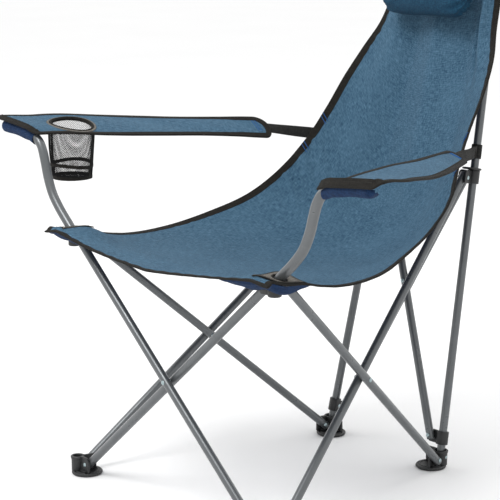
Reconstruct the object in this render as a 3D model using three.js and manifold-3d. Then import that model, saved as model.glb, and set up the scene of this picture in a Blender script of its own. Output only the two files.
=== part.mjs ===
// Folding camp chair: a quad-fold frame of powder-coated steel tube that carries a fabric sling.
// Millimetres, +Z up, the sitter faces -Y, and left and right are the sitter's own (+X is left).
import * as THREE from "three";
import { mergeVertices } from "three/addons/utils/BufferGeometryUtils.js";
import Module from "manifold-3d";

const wasm = await Module();
wasm.setup();

// Driving dimensions of the frame.
const GAP = 0.4; // air between neighbouring pieces
const TUBE_R = 8; // 16 mm frame tube
const TUBE_WALL = 1.2;
const ARM_R = 9; // 18 mm armrest tube
const FOOT_HALF_SPACING = 286; // corner axis of a front foot, from the middle plane
const SIDE_ANGLE = THREE.MathUtils.degToRad(13.3); // how much the sides close in towards the back
const PIVOT_INSET = 25; // corner axis to the rivet of a brace
const REAR_INSET = 22.5; // upright axis to the rivet of a rear brace
const FOOT_PIVOT_Z = 22;
const HUB_Z = 466; // rivets of the front hubs
const LONG_BRACE = 837; // front foot to slider, between rivets
const SLEEVE_UP = 36; // lower sleeve, along the upright from its foot rivet
const UPRIGHT_TOP_Z = 974;
const LAP = 9; // tube beyond its end rivet
const REAR_LAP = 7;
const TUBE_OUT = 5.8; // outer tube of a crossed pair, outside the plane through the corner axes
const TUBE_IN = 10.8; // inner tube of the pair, inside that plane
const RIVET_R = 2.9;
const HOLE_R = 3.5;

// Places that follow from them.
const SPAN = 2 * FOOT_HALF_SPACING; // every folding side is as wide as the front
const BRACE_RUN = SPAN - 2 * PIVOT_INSET;
const BRACE_RISE = HUB_Z - FOOT_PIVOT_Z;
const SHORT_BRACE = Math.hypot(BRACE_RUN, BRACE_RISE);
const FRONT_Y = -SPAN * Math.cos(SIDE_ANGLE) / 2;
const REAR_Y = -FRONT_Y;
const REAR_X = FOOT_HALF_SPACING - SPAN * Math.sin(SIDE_ANGLE);
const LONG_RUN = LONG_BRACE * BRACE_RUN / SHORT_BRACE;
const LONG_RISE = LONG_BRACE * BRACE_RISE / SHORT_BRACE;
const UP = new THREE.Vector3(0, 0, 1);
const SIDES = [["left", 1], ["right", -1]];

// Finishes.
const finish = (color, roughness, metalness) => ({ color, roughness, metalness });
const STEEL = finish(0x6d7073, 0.42, 0.6);
const PLASTIC = finish(0x1d1e1f, 0.5, 0);
const RIVET = finish(0xc8dede, 0.25, 1);
const FABRIC = finish(0x547894, 0.95, 0);
const PILLOW = finish(0x2f5a78, 0.95, 0);
const BINDING = finish(0x2b2a26, 0.9, 0);
const PATCH = finish(0x6f6c66, 0.95, 0);
const MESH = finish(0x17181a, 0.9, 0);

const chair = new THREE.Group();

/** Adds one named piece to the chair. */
function piece(name, geometry, look) {
  const mesh = new THREE.Mesh(geometry, new THREE.MeshStandardMaterial(look));
  mesh.name = name;
  chair.add(mesh);
}

/** Welds a geometry into a solid for booleans. */
function solid(geometry) {
  const bare = geometry.index ? geometry.toNonIndexed() : geometry.clone();
  bare.deleteAttribute("normal");
  bare.deleteAttribute("uv");
  const welded = mergeVertices(bare, 1e-3);
  return new wasm.Manifold(new wasm.Mesh({
    numProp: 3,
    vertProperties: new Float32Array(welded.attributes.position.array),
    triVerts: new Uint32Array(welded.index.array),
  }));
}

/** Turns a solid back into a geometry. */
function shape(body) {
  const mesh = body.getMesh();
  const geometry = new THREE.BufferGeometry();
  geometry.setAttribute("position", new THREE.BufferAttribute(mesh.vertProperties, mesh.numProp));
  geometry.setIndex(new THREE.BufferAttribute(mesh.triVerts, 1));
  const flat = geometry.toNonIndexed();
  flat.computeVertexNormals();
  return flat;
}

/** Joins geometries, then takes the cutters away. */
function carve(parts, cutters = []) {
  let body = solid(parts[0]);
  for (const part of parts.slice(1)) {
    body = body.add(solid(part));
  }
  for (const cutter of cutters) {
    body = body.subtract(solid(cutter));
  }
  return shape(body);
}

/** A smooth curve through hand-placed points. */
function smooth(points) {
  return new THREE.CatmullRomCurve3(points, false, "centripetal");
}

/** A matrix whose local X and Z point along the two given directions. */
function frameAt(origin, x, z) {
  const matrix = new THREE.Matrix4().makeBasis(x, z.clone().cross(x), z);
  return matrix.setPosition(origin);
}

/** A round rod from a to b. */
function rod(a, b, radius, segments = 16) {
  const axis = b.clone().sub(a);
  const geometry = new THREE.CylinderGeometry(radius, radius, axis.length(), segments);
  const turn = new THREE.Quaternion().setFromUnitVectors(new THREE.Vector3(0, 1, 0), axis.normalize());
  geometry.applyQuaternion(turn);
  const middle = a.clone().add(b).multiplyScalar(0.5);
  return geometry.translate(middle.x, middle.y, middle.z);
}

/** A rod through a point, reaching half its length each way along a direction. */
function pin(centre, direction, half, radius, segments = 8) {
  const reach = direction.clone().multiplyScalar(half);
  return rod(centre.clone().sub(reach), centre.clone().add(reach), radius, segments);
}

/** A plate with two rounded corners that stands on a corner axis and points along dir. */
function cheek(origin, dir, up, inward, size) {
  const { reach, low, high, from, to, corner = 7 } = size;
  const outline = new THREE.Shape();
  outline.moveTo(0, low);
  outline.lineTo(reach - 2, low);
  outline.lineTo(reach, low + 2);
  outline.lineTo(reach, high - corner);
  outline.absarc(reach - corner, high - corner, corner, 0, Math.PI / 2, false);
  outline.lineTo(0, high);
  const geometry = new THREE.ExtrudeGeometry(outline, { depth: to - from, bevelEnabled: false, curveSegments: 2 });
  const normal = dir.clone().cross(up);
  const start = normal.dot(inward) > 0 ? from : -to;
  geometry.translate(0, 0, start);
  geometry.applyMatrix4(new THREE.Matrix4().makeBasis(dir, up, normal).setPosition(origin));
  return geometry;
}

const OUTER_CHEEK = { from: TUBE_R - TUBE_OUT + GAP, to: TUBE_R - TUBE_OUT + GAP + 4.4 };
const INNER_CHEEK = { from: TUBE_IN - TUBE_R - GAP - 4.4, to: TUBE_IN - TUBE_R - GAP };

/** A straight hollow tube between two rivets, drilled square to its face plane. */
function drilledTube(a, b, lapA, lapB, holes, across) {
  const axis = b.clone().sub(a);
  const length = axis.length();
  const ring = new THREE.Shape().absarc(0, 0, TUBE_R, 0, 2 * Math.PI, false);
  ring.holes.push(new THREE.Path().absarc(0, 0, TUBE_R - TUBE_WALL, 0, 2 * Math.PI, true));
  const depth = length + lapA + lapB;
  const geometry = new THREE.ExtrudeGeometry(ring, { depth, bevelEnabled: false, curveSegments: 6 });
  geometry.translate(0, 0, -lapA);
  const x = new THREE.Vector3(1, 0, 0);
  const drills = holes.map((at) => pin(new THREE.Vector3(0, 0, at), x, TUBE_R + 2, HOLE_R, 6));
  const tube = carve([geometry], drills);
  return tube.applyMatrix4(frameAt(a, across, axis.normalize()));
}

/** A domed rivet through a grip, with its middle at centre; a blind one has no head at its far end. */
function rivetBody(centre, direction, grip, { shank = RIVET_R, blind = false } = {}) {
  const face = grip / 2 + 0.25;
  const headR = shank + 2.4;
  const head = [[0, -face - 2.2], [headR - 1.2, -face - 1.8], [headR, -face], [shank, -face]];
  const farHead = head.map(([r, z]) => [r, -z]).reverse();
  const profile = [...head, ...(blind ? [[shank, face], [0, face]] : farHead)];
  const points = profile.map(([r, z]) => new THREE.Vector2(r, z));
  const geometry = new THREE.LatheGeometry(points, 8);
  const turn = new THREE.Quaternion().setFromUnitVectors(new THREE.Vector3(0, 1, 0), direction);
  geometry.applyQuaternion(turn);
  return geometry.translate(centre.x, centre.y, centre.z);
}

/** Everything that the four corners of one side share: axes, directions and rivet places. */
function sideFrame(sign) {
  const back = new THREE.Vector3(-sign * Math.sin(SIDE_ANGLE), Math.cos(SIDE_ANGLE), 0);
  const inward = new THREE.Vector3(-sign * Math.cos(SIDE_ANGLE), -Math.sin(SIDE_ANGLE), 0);
  const inX = new THREE.Vector3(-sign, 0, 0);
  const front = new THREE.Vector3(sign * FOOT_HALF_SPACING, FRONT_Y, 0);
  const rear = new THREE.Vector3(sign * REAR_X, REAR_Y, 0);
  const upFrom = (point, dir, inset, height, across, shift) => point.clone()
    .addScaledVector(dir, inset)
    .addScaledVector(across, shift)
    .setZ(height);
  const slider = rear.clone().addScaledVector(back, LONG_RUN - BRACE_RUN).setZ(FOOT_PIVOT_Z + LONG_RISE);
  const foot = rear.clone().setZ(FOOT_PIVOT_Z);
  const lean = slider.clone().sub(foot).normalize();
  const sleeve = foot.clone().addScaledVector(lean, SLEEVE_UP);
  return { sign, back, inward, inX, front, rear, slider, foot, lean, sleeve, upFrom };
}

const LEFT = sideFrame(1);
const RIGHT = sideFrame(-1);
const FRAME = { left: LEFT, right: RIGHT };
const REAR_UP = LEFT.lean.clone().add(RIGHT.lean).normalize(); // up along the leaning rear plane
const REAR_IN = new THREE.Vector3(1, 0, 0).cross(REAR_UP); // forwards, square to that plane
const FRONT_IN = new THREE.Vector3(0, 1, 0);

/** Rivet places of a brace pair in one side: the left side has its long brace inside, the right outside. */
function sideBraces(side) {
  const s = FRAME[side];
  const longShift = s.sign > 0 ? TUBE_IN : -TUBE_OUT;
  const shortShift = s.sign > 0 ? -TUBE_OUT : TUBE_IN;
  const forward = s.back.clone().negate();
  const at = (point, dir, z, shift) => s.upFrom(point, dir, PIVOT_INSET, z, s.inward, shift);
  return {
    longShift,
    shortShift,
    longFoot: at(s.front, s.back, FOOT_PIVOT_Z, longShift),
    longTop: at(s.slider, forward, s.slider.z, longShift),
    shortHub: at(s.front, s.back, HUB_Z, shortShift),
    shortFoot: at(s.rear, forward, FOOT_PIVOT_Z, shortShift),
  };
}

/** Rivet places of a front brace that runs from one side's hub to the other side's foot. */
function frontBrace(fromSide, shift) {
  const a = FRAME[fromSide];
  const b = FRAME[fromSide === "left" ? "right" : "left"];
  const hub = a.upFrom(a.front, a.inX, PIVOT_INSET, HUB_Z, FRONT_IN, shift);
  const foot = b.upFrom(b.front, b.inX, PIVOT_INSET, FOOT_PIVOT_Z, FRONT_IN, shift);
  return { hub, foot };
}

/** Rivet places of a rear brace that runs from one side's slider to the other side's sleeve. */
function rearBrace(fromSide, shift) {
  const a = FRAME[fromSide];
  const b = FRAME[fromSide === "left" ? "right" : "left"];
  const top = a.slider.clone().addScaledVector(a.inX, REAR_INSET).addScaledVector(REAR_IN, shift);
  const low = b.sleeve.clone().addScaledVector(b.inX, REAR_INSET).addScaledVector(REAR_IN, shift);
  return { top, low };
}

const SIDE = { left: sideBraces("left"), right: sideBraces("right") };
const FRONT = { left: frontBrace("left", TUBE_IN), right: frontBrace("right", -TUBE_OUT) };
const REAR = { left: rearBrace("left", -TUBE_OUT), right: rearBrace("right", TUBE_IN) };

/** The point of segment a-b that is nearest to segment c-d. */
function crossing(a, b, c, d) {
  const u = b.clone().sub(a);
  const v = d.clone().sub(c);
  const w = a.clone().sub(c);
  const uu = u.dot(u);
  const uv = u.dot(v);
  const vv = v.dot(v);
  return a.clone().addScaledVector(u, (uv * v.dot(w) - vv * u.dot(w)) / (uu * vv - uv * uv));
}

/** Both tubes of a crossed pair and the rivet where they cross. */
function crossedPair(names, first, second, inward, laps) {
  const mid1 = crossing(...first, ...second);
  const mid2 = crossing(...second, ...first);
  const places = [[names[0], first, mid1, laps[0]], [names[1], second, mid2, laps[1]]];
  for (const [name, [a, b], mid, lap] of places) {
    const holes = [0, a.distanceTo(mid), a.distanceTo(b)];
    piece(name, drilledTube(a, b, lap, lap, holes, inward), STEEL);
  }
  const centre = mid1.clone().add(mid2).multiplyScalar(0.5);
  piece(names[2], rivetBody(centre, inward, TUBE_IN + TUBE_OUT + 2 * TUBE_R), RIVET);
}

/** A moulded corner: a disc or a post with one cheek for each of its two braces. */
function cornerCheeks(origin, faces, up, heights) {
  const parts = [];
  const drills = [];
  for (const { dir, inward, inner, inset, rise } of faces) {
    const band = inner ? INNER_CHEEK : OUTER_CHEEK;
    parts.push(cheek(origin, dir, up, inward, { ...heights, ...band, reach: inset + 11 }));
    const eye = origin.clone()
      .addScaledVector(dir, inset)
      .addScaledVector(up, rise)
      .addScaledVector(inward, (band.from + band.to) / 2);
    drills.push(pin(eye, inward, 6, HOLE_R));
  }
  return { parts, drills };
}

/** A foot: ribbed disc, upright socket and two brace cheeks. */
function foot(side, end) {
  const s = FRAME[side];
  const isFront = end === "front";
  const origin = isFront ? s.front : s.rear;
  const depthDir = isFront ? s.back : s.back.clone().negate();
  const acrossIn = isFront ? FRONT_IN : new THREE.Vector3(0, -1, 0);
  const sideInner = isFront ? s.sign > 0 : s.sign < 0;
  const faces = [
    { dir: s.inX, inward: acrossIn, inner: isFront ? s.sign < 0 : s.sign > 0 },
    { dir: depthDir, inward: s.inward, inner: sideInner },
  ].map((face) => ({ ...face, inset: PIVOT_INSET, rise: FOOT_PIVOT_Z }));
  const { parts, drills } = cornerCheeks(origin, faces, UP, { low: 4, high: 36 });
  const disc = new THREE.LatheGeometry([
    [0, 0], [27.5, 0], [30, 2], [30, 5], [28, 7], [0, 7],
  ].map(([r, z]) => new THREE.Vector2(r, z)), 24);
  disc.rotateX(Math.PI / 2);
  const centre = origin.clone().addScaledVector(s.inX, 12.8).addScaledVector(acrossIn, 12.8);
  disc.translate(centre.x, centre.y, 0);
  const post = rod(origin.clone().setZ(5), origin.clone().setZ(35), 12.5, 16);
  drills.push(...(isFront ? [emptyBore(origin)] : leaningSlot(s)));
  piece(`foot_${end}_${side}`, carve([disc, post, ...parts], drills), PLASTIC);
}

/** The blind round bore of a front foot, which holds no upright. */
function emptyBore(origin) {
  return rod(origin.clone().setZ(12), origin.clone().setZ(60), 9, 16);
}

/** The slot of a rear foot, long enough for its upright to lean and stand up. */
function leaningSlot(s) {
  const slot = new THREE.BoxGeometry(2 * (TUBE_R + GAP), 60, 60);
  slot.applyMatrix4(frameAt(s.rear.clone().setZ(38.5), s.inward, UP));
  const inner = s.foot.clone().addScaledVector(s.inward, 10.5);
  const outer = s.foot.clone().addScaledVector(s.inward, -20);
  return [slot, rod(outer, inner, HOLE_R, 12)];
}

/** A front hub: post, two brace cheeks and the angled socket of the armrest tube. */
function hub(side) {
  const s = FRAME[side];
  const origin = s.front.clone().setZ(HUB_Z);
  const faces = [
    { dir: s.inX, inward: FRONT_IN, inner: s.sign > 0 },
    { dir: s.back, inward: s.inward, inner: s.sign < 0 },
  ].map((face) => ({ ...face, inset: PIVOT_INSET, rise: 0 }));
  const { parts, drills } = cornerCheeks(origin, faces, UP, { low: -15, high: 12 });
  const root = armRoot(side);
  const out = armRun(side);
  parts.push(rod(origin.clone().setZ(HUB_Z - 15), origin.clone().setZ(HUB_Z + 6), 12, 16));
  parts.push(rod(root.clone().addScaledVector(out, -7), root.clone().addScaledVector(out, 14), 12, 16));
  drills.push(rod(root.clone().addScaledVector(out, -GAP), root.clone().addScaledVector(out, 60), ARM_R + GAP, 14));
  drills.push(pin(armScrewPlace(side), FRONT_IN, 20, 2.6));
  piece(`hub_${side}`, carve(parts, drills), PLASTIC);
}

// The armrest tube lies in one upright plane: x from the middle, then z, for each point it bends through.
const ARM_POINTS = [
  [283, 470], [305, 490], [333, 515], [356, 541], [371, 571], [380, 600],
  [388, 622], [401, 640], [424, 650], [460, 654.5], [506, 659],
];

/** The points of one armrest tube. */
function armPoints(side) {
  return ARM_POINTS.map(([x, z]) => new THREE.Vector3(FRAME[side].sign * x, FRONT_Y, z));
}

/** Where the armrest tube starts in its hub. */
function armRoot(side) {
  return armPoints(side)[0];
}

/** The direction in which the armrest tube leaves its hub. */
function armRun(side) {
  const [a, b] = armPoints(side);
  return b.sub(a).normalize();
}

/** Where the screw crosses the armrest tube inside the hub. */
function armScrewPlace(side) {
  return armRoot(side).addScaledVector(armRun(side), 5);
}

/** A round bar of the given radius along the armrest tube's path, with an optional longer tip. */
function armSweep(side, radius, extra = 0) {
  const points = armPoints(side);
  const [before, tip] = points.slice(-2);
  tip.addScaledVector(tip.clone().sub(before).normalize(), extra);
  const path = smooth(points);
  const ring = new THREE.Shape().absarc(0, 0, radius, 0, 2 * Math.PI, false);
  return new THREE.ExtrudeGeometry(ring, { steps: 18, bevelEnabled: false, curveSegments: 5, extrudePath: path });
}

/** A bent armrest tube with its screw hole. */
function armTube(side) {
  const drill = pin(armScrewPlace(side), FRONT_IN, 20, 2.6);
  piece(`arm_tube_${side}`, carve([armSweep(side, ARM_R)], [drill]), STEEL);
}

/** An upright: a hollow tube from its foot to the pocket at the top of the back. */
function upright(side) {
  const s = FRAME[side];
  const length = (UPRIGHT_TOP_Z - FOOT_PIVOT_Z) / s.lean.z;
  const top = s.foot.clone().addScaledVector(s.lean, length);
  piece(`upright_${side}`, drilledTube(s.foot, top, 9, 0, [0], s.inward), STEEL);
  const cap = new THREE.LatheGeometry([
    [0, -14], [TUBE_R - TUBE_WALL - GAP, -14], [TUBE_R - TUBE_WALL - GAP, GAP],
    [TUBE_R, GAP], [TUBE_R, 2.5], [TUBE_R - 2, 4.5], [0, 4.5],
  ].map(([r, z]) => new THREE.Vector2(r, z)), 16);
  cap.rotateX(Math.PI / 2);
  cap.applyMatrix4(frameAt(top, s.inward, s.lean));
  piece(`upright_cap_${side}`, cap, PLASTIC);
}

/** The cut that lets an upright swing out of a fitting while the frame is half folded. */
function swingCut(centre, s, out, back) {
  const z = s.lean;
  const outward = s.inward.clone().negate();
  const rearward = s.back.clone().addScaledVector(z, -s.back.dot(z)).normalize();
  const cut = new THREE.BoxGeometry(out[1] - out[0], back[1] - back[0], 120);
  const middle = centre.clone()
    .addScaledVector(outward, (out[0] + out[1]) / 2)
    .addScaledVector(rearward, (back[0] + back[1]) / 2);
  return cut.applyMatrix4(frameAt(middle, rearward.clone().cross(z), z));
}

/** An upper slider: collar round the upright, flange, and cheeks for the long brace and the rear brace. */
function slider(side) {
  const s = FRAME[side];
  const tilt = s.lean;
  const forward = s.back.clone().negate();
  const level = forward.clone().addScaledVector(tilt, -forward.dot(tilt)).normalize();
  const faces = [
    { dir: level, inward: s.inward, inner: s.sign > 0, inset: PIVOT_INSET * level.dot(forward) },
  ].map((face) => ({ ...face, rise: PIVOT_INSET * forward.dot(tilt) }));
  const longFace = cornerCheeks(s.slider, faces, tilt, { low: -16, high: 10 });
  const rearFaces = [{ dir: s.inX, inward: REAR_IN, inner: s.sign < 0, inset: REAR_INSET, rise: 0 }];
  const rearFace = cornerCheeks(s.slider, rearFaces, REAR_UP, { low: -14, high: 10 });
  const along = (distance) => s.slider.clone().addScaledVector(tilt, distance);
  const collar = rod(along(-15), along(14), 11.8, 18);
  const shift = level.clone().add(s.inX).multiplyScalar(4);
  const flange = rod(along(12).add(shift), along(16).add(shift), 19, 24);
  const fit = TUBE_R + GAP;
  const mouth = swingCut(s.slider, s, [-fit, fit], [0, 60]);
  const bore = pin(s.slider, tilt, 40, TUBE_R + GAP, 16);
  const parts = [collar, flange, ...longFace.parts, ...rearFace.parts];
  piece(`slider_${side}`, carve(parts, [bore, mouth, ...longFace.drills, ...rearFace.drills]), PLASTIC);
}

/** A lower sleeve: collar round the upright with one cheek for the rear brace. */
function sleeve(side) {
  const s = FRAME[side];
  const faces = [{ dir: s.inX, inward: REAR_IN, inner: s.sign > 0, inset: REAR_INSET, rise: 0 }];
  const { parts, drills } = cornerCheeks(s.sleeve, faces, REAR_UP, { low: -13, high: 12 });
  const collar = pin(s.sleeve, s.lean, 13, 11.8, 18);
  const fit = TUBE_R + GAP;
  const bore = pin(s.sleeve, s.lean, 30, fit, 20);
  const corner = swingCut(s.sleeve, s, [0, 60], [-fit, 60]);
  const rear = swingCut(s.sleeve, s, [-fit, 60], [0, 60]);
  piece(`sleeve_${side}`, carve([collar, ...parts], [bore, corner, rear, ...drills]), PLASTIC);
}

/** Rivets that hold brace ends to feet, hubs, sliders and sleeves. */
function endRivets() {
  const across = 2 * TUBE_R + GAP + 4.4;
  const middleOf = (inner) => {
    const band = inner ? [INNER_CHEEK.from, TUBE_IN + TUBE_R] : [-TUBE_OUT - TUBE_R, OUTER_CHEEK.to];
    return (band[0] + band[1]) / 2;
  };
  const put = (name, point, inward, inner) => {
    const tube = inner ? TUBE_IN : -TUBE_OUT;
    const centre = point.clone().addScaledVector(inward, middleOf(inner) - tube);
    piece(name, rivetBody(centre, inward, across), RIVET);
  };
  put("rivet_front_hub_left", FRONT.left.hub, FRONT_IN, true);
  put("rivet_front_foot_right", FRONT.left.foot, FRONT_IN, true);
  put("rivet_front_hub_right", FRONT.right.hub, FRONT_IN, false);
  put("rivet_front_foot_left", FRONT.right.foot, FRONT_IN, false);
  for (const [side, sign] of SIDES) {
    const s = FRAME[side];
    const b = SIDE[side];
    put(`rivet_side_hub_${side}`, b.shortHub, s.inward, sign < 0);
    put(`rivet_side_rear_foot_${side}`, b.shortFoot, s.inward, sign < 0);
    put(`rivet_side_front_foot_${side}`, b.longFoot, s.inward, sign > 0);
    put(`rivet_side_slider_${side}`, b.longTop, s.inward, sign > 0);
  }
  put("rivet_rear_slider_left", REAR.left.top, REAR_IN, false);
  put("rivet_rear_sleeve_right", REAR.left.low, REAR_IN, false);
  put("rivet_rear_sleeve_left", REAR.right.low, REAR_IN, true);
  const backwards = REAR_IN.clone().negate();
  const open = rivetBody(REAR.right.top, backwards, 2 * TUBE_R, { blind: true }); // stops short of its cheek
  piece("rivet_rear_slider_right", open, RIVET);
}

/** The frame, from the feet up. */
function frame() {
  for (const [side] of SIDES) {
    foot(side, "front");
    foot(side, "rear");
    hub(side);
    slider(side);
    sleeve(side);
    upright(side);
    armTube(side);
    const s = FRAME[side];
    const footRivet = s.foot.clone().addScaledVector(s.inward, -1.5);
    piece(`rivet_upright_${side}`, rivetBody(footRivet, s.inward, 22.5, { blind: true }), RIVET);
    const screw = armScrewPlace(side).add(new THREE.Vector3(0, -1.5, 0));
    piece(`screw_arm_${side}`, rivetBody(screw, FRONT_IN, 22.5, { shank: 2.2, blind: true }), RIVET);
    const b = SIDE[side];
    crossedPair(
      [`brace_short_${side}`, `brace_long_${side}`, `rivet_side_cross_${side}`],
      [b.shortFoot, b.shortHub], [b.longFoot, b.longTop], s.inward, [LAP, LAP],
    );
  }
  crossedPair(
    ["brace_front_left", "brace_front_right", "rivet_front_cross"],
    [FRONT.left.hub, FRONT.left.foot], [FRONT.right.hub, FRONT.right.foot], FRONT_IN, [LAP, LAP],
  );
  crossedPair(
    ["brace_rear_left", "brace_rear_right", "rivet_rear_cross"],
    [REAR.left.top, REAR.left.low], [REAR.right.top, REAR.right.low], REAR_IN, [REAR_LAP, REAR_LAP],
  );
  endRivets();
}

// Soft parts. Half of the sling's edge from the front corner to the top: half width, y, z.
const SLING_EDGE = [
  [307, -322, 496], [305, -282, 490], [303, -236, 484], [307, -140, 458], [300, -40, 457], [278, 50, 478],
  [256, 136, 508], [238, 205, 553], [213, 256, 613], [200, 304, 676], [194, 352, 739], [180, 396, 799],
  [160, 428, 852], [151, 449, 905], [147, 465, 978],
];
// The sling's middle line over the same length: y, z.
const SLING_MIDDLE = [
  [-328, 458], [-285, 442], [-225, 425], [-130, 407], [-20, 398], [70, 396],
  [150, 408], [220, 436], [275, 480], [318, 545], [352, 620], [383, 700],
  [412, 790], [442, 885], [467, 978],
];
const SLING_THICKNESS = 3;
const HUB_TENT = { x: 256, y: -266, reach: 50, height: 11 }; // where the fabric rides over the hubs
const PAD_CLEAR = 0.5; // air round fabric that lies against something
const SEAT_FROM = 0.165; // share of the sling's length where its front panel meets its seat panel
const BACK_FROM = 0.4; // and where the seat panel meets the back panel
const SEAM = 0.0005;

const EDGE_LINE = smooth(SLING_EDGE.map(([x, y, z]) => new THREE.Vector3(x, y, z)));
const MIDDLE_LINE = smooth(SLING_MIDDLE.map(([y, z]) => new THREE.Vector3(0, y, z)));

/** A point of the sling: u runs from the right edge to the left one, v from the front to the top. */
function slingPoint(u, v) {
  const edge = EDGE_LINE.getPoint(v);
  const middle = MIDDLE_LINE.getPoint(v);
  const hang = Math.abs(u) ** THREE.MathUtils.lerp(1.4, 2.1, Math.min(v / 0.2, 1));
  const point = new THREE.Vector3(
    edge.x * u,
    THREE.MathUtils.lerp(middle.y, edge.y, hang),
    THREE.MathUtils.lerp(middle.z, edge.z, hang),
  );
  const toHub = Math.hypot(Math.abs(point.x) - HUB_TENT.x, point.y - HUB_TENT.y) / HUB_TENT.reach;
  point.z += HUB_TENT.height * Math.exp(-toHub * toHub);
  return point;
}

/** A closed slab of even thickness over a grid of points, lifted off it along its normals. */
function slab(pointAt, columns, rows, thickness, lift = 0) {
  const step = 1e-3;
  const grid = (offset) => {
    const points = [];
    for (let j = 0; j <= rows; j += 1) {
      for (let i = 0; i <= columns; i += 1) {
        const [a, b] = [i / columns, j / rows];
        const across = pointAt(Math.min(a + step, 1), b).sub(pointAt(Math.max(a - step, 0), b));
        const along = pointAt(a, Math.min(b + step, 1)).sub(pointAt(a, Math.max(b - step, 0)));
        const normal = across.cross(along).normalize();
        points.push(pointAt(a, b).addScaledVector(normal, offset));
      }
    }
    return points;
  };
  const points = [...grid(lift + thickness / 2), ...grid(lift - thickness / 2)];
  const width = columns + 1;
  const sheet = width * (rows + 1);
  const faces = [];
  const quad = (a, b, c, d) => faces.push(a, b, c, a, c, d);
  for (let j = 0; j < rows; j += 1) {
    for (let i = 0; i < columns; i += 1) {
      const k = j * width + i;
      quad(k, k + 1, k + 1 + width, k + width);
      quad(k + sheet, k + width + sheet, k + 1 + width + sheet, k + 1 + sheet);
    }
  }
  for (let i = 0; i < columns; i += 1) {
    const top = rows * width + i;
    quad(i + sheet, i + 1 + sheet, i + 1, i);
    quad(top, top + 1, top + 1 + sheet, top + sheet);
  }
  for (let j = 0; j < rows; j += 1) {
    const near = j * width;
    const far = near + columns;
    quad(near, near + width, near + width + sheet, near + sheet);
    quad(far + sheet, far + width + sheet, far + width, far);
  }
  const geometry = new THREE.BufferGeometry().setFromPoints(points);
  geometry.setIndex(faces);
  return geometry;
}

/** The same point on either side of the chair. */
function mirrored(sign, pointAt) {
  return (a, b) => {
    const point = pointAt(sign > 0 ? a : 1 - a, b);
    return point.setX(point.x * sign);
  };
}

/** The corner of an upright's pocket: from the height where it starts to its closed top. */
function pocketEnds(side) {
  const s = FRAME[side];
  const at = (z) => s.foot.clone().addScaledVector(s.lean, (z - FOOT_PIVOT_Z) / s.lean.z);
  return [at(905), at(UPRIGHT_TOP_Z + 8)];
}

const ARM_INNER = [[391, -284, 651], [374, -190, 650], [347, -90, 643], [311, 20, 637], [267, 130, 633], [240, 196, 631]];
const ARM_OUTER = [[533, -284, 669], [512, -190, 664], [461, -90, 657], [402, 20, 650], [332, 130, 643], [284, 199, 637]];
const CUP_CENTRE = [427, -192];
const CUP_R = 46;
const CUP_TOP_Z = 657;
const CUP_DEPTH = 108;

/** A point of the left armrest's strip: a from the inner to the outer edge, b from the front to the back. */
const INNER_LINE = smooth(ARM_INNER.map(([x, y, z]) => new THREE.Vector3(x, y, z)));
const OUTER_LINE = smooth(ARM_OUTER.map(([x, y, z]) => new THREE.Vector3(x, y, z)));
const armrestPoint = (a, b) => INNER_LINE.getPoint(b).lerp(OUTER_LINE.getPoint(b), a);

/** A webbing strap from the rear of an armrest to the loop round its upright. */
function strapEnds(side) {
  const s = FRAME[side];
  const rear = new THREE.Vector3(s.sign * 262, 200, 634);
  const loop = s.foot.clone().addScaledVector(s.lean, (612 - FOOT_PIVOT_Z) / s.lean.z);
  return { rear, loop, run: loop.clone().sub(rear).normalize() };
}

/** The strap as a flat band, or with air round it as a cutter. */
function strapBand(side, air) {
  const { rear, loop, run } = strapEnds(side);
  const length = rear.distanceTo(loop);
  const from = air > 0 ? -4 : 1;
  const to = length - (air > 0 ? 4 : TUBE_R + 2);
  const band = new THREE.BoxGeometry(24 + 2 * air, 2 + 2 * air, to - from);
  band.translate(0, 0, (from + to) / 2);
  const tall = UP.clone().addScaledVector(run, -UP.dot(run)).normalize();
  return band.applyMatrix4(frameAt(rear, tall, run));
}

/** One stretch of the sling, from one place along it to another. */
function slingPanel(from, to, rows) {
  return slab((a, b) => slingPoint(2 * a - 1, THREE.MathUtils.lerp(from, to, b)), 12, rows, SLING_THICKNESS);
}

/** The sling's front panel, open where the hubs and the armrest tubes come through. */
function slingFront() {
  const cutters = [];
  for (const [side] of SIDES) {
    const root = armRoot(side);
    const out = armRun(side);
    cutters.push(rod(root.clone().addScaledVector(out, -20), root.clone().addScaledVector(out, 60), 13, 14));
    const post = FRAME[side].front.clone();
    cutters.push(rod(post.clone().setZ(HUB_Z - 20), post.clone().setZ(HUB_Z + 12.5), 13, 14));
  }
  piece("sling_front", carve([slingPanel(0, SEAT_FROM, 3)], cutters), FABRIC);
}

/** The sling's back panel with the pockets that hold the uprights, slotted for the straps. */
function slingBack() {
  const parts = [slingPanel(BACK_FROM + SEAM, 1, 13)];
  const cutters = [];
  for (const [side] of SIDES) {
    const [low, high] = pocketEnds(side);
    const s = FRAME[side];
    parts.push(rod(low, high, 13, 14));
    const floor = s.lean.clone().multiplyScalar(40);
    cutters.push(rod(low.clone().sub(floor), high.clone().addScaledVector(s.lean, -2.5), TUBE_R + PAD_CLEAR, 16));
    cutters.push(strapBand(side, 1.2));
  }
  piece("sling_back", carve(parts, cutters), FABRIC);
}

/** A bound patch that reinforces the sling's corner round the armrest tube. */
function cornerPatch(side) {
  const corner = (a, b) => slingPoint(THREE.MathUtils.lerp(0.8, 0.99, a), THREE.MathUtils.lerp(0.01, 0.16, b));
  const patch = slab(mirrored(FRAME[side].sign, corner), 4, 5, 2, SLING_THICKNESS / 2 + 2 + PAD_CLEAR);
  const root = armRoot(side);
  const out = armRun(side);
  const hole = rod(root, root.clone().addScaledVector(out, 70), ARM_R + 2.5, 14);
  const boss = rod(root, root.clone().addScaledVector(out, 14.5), 12.5, 14);
  piece(`corner_patch_${side}`, carve([patch], [hole, boss]), PATCH);
}

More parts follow.
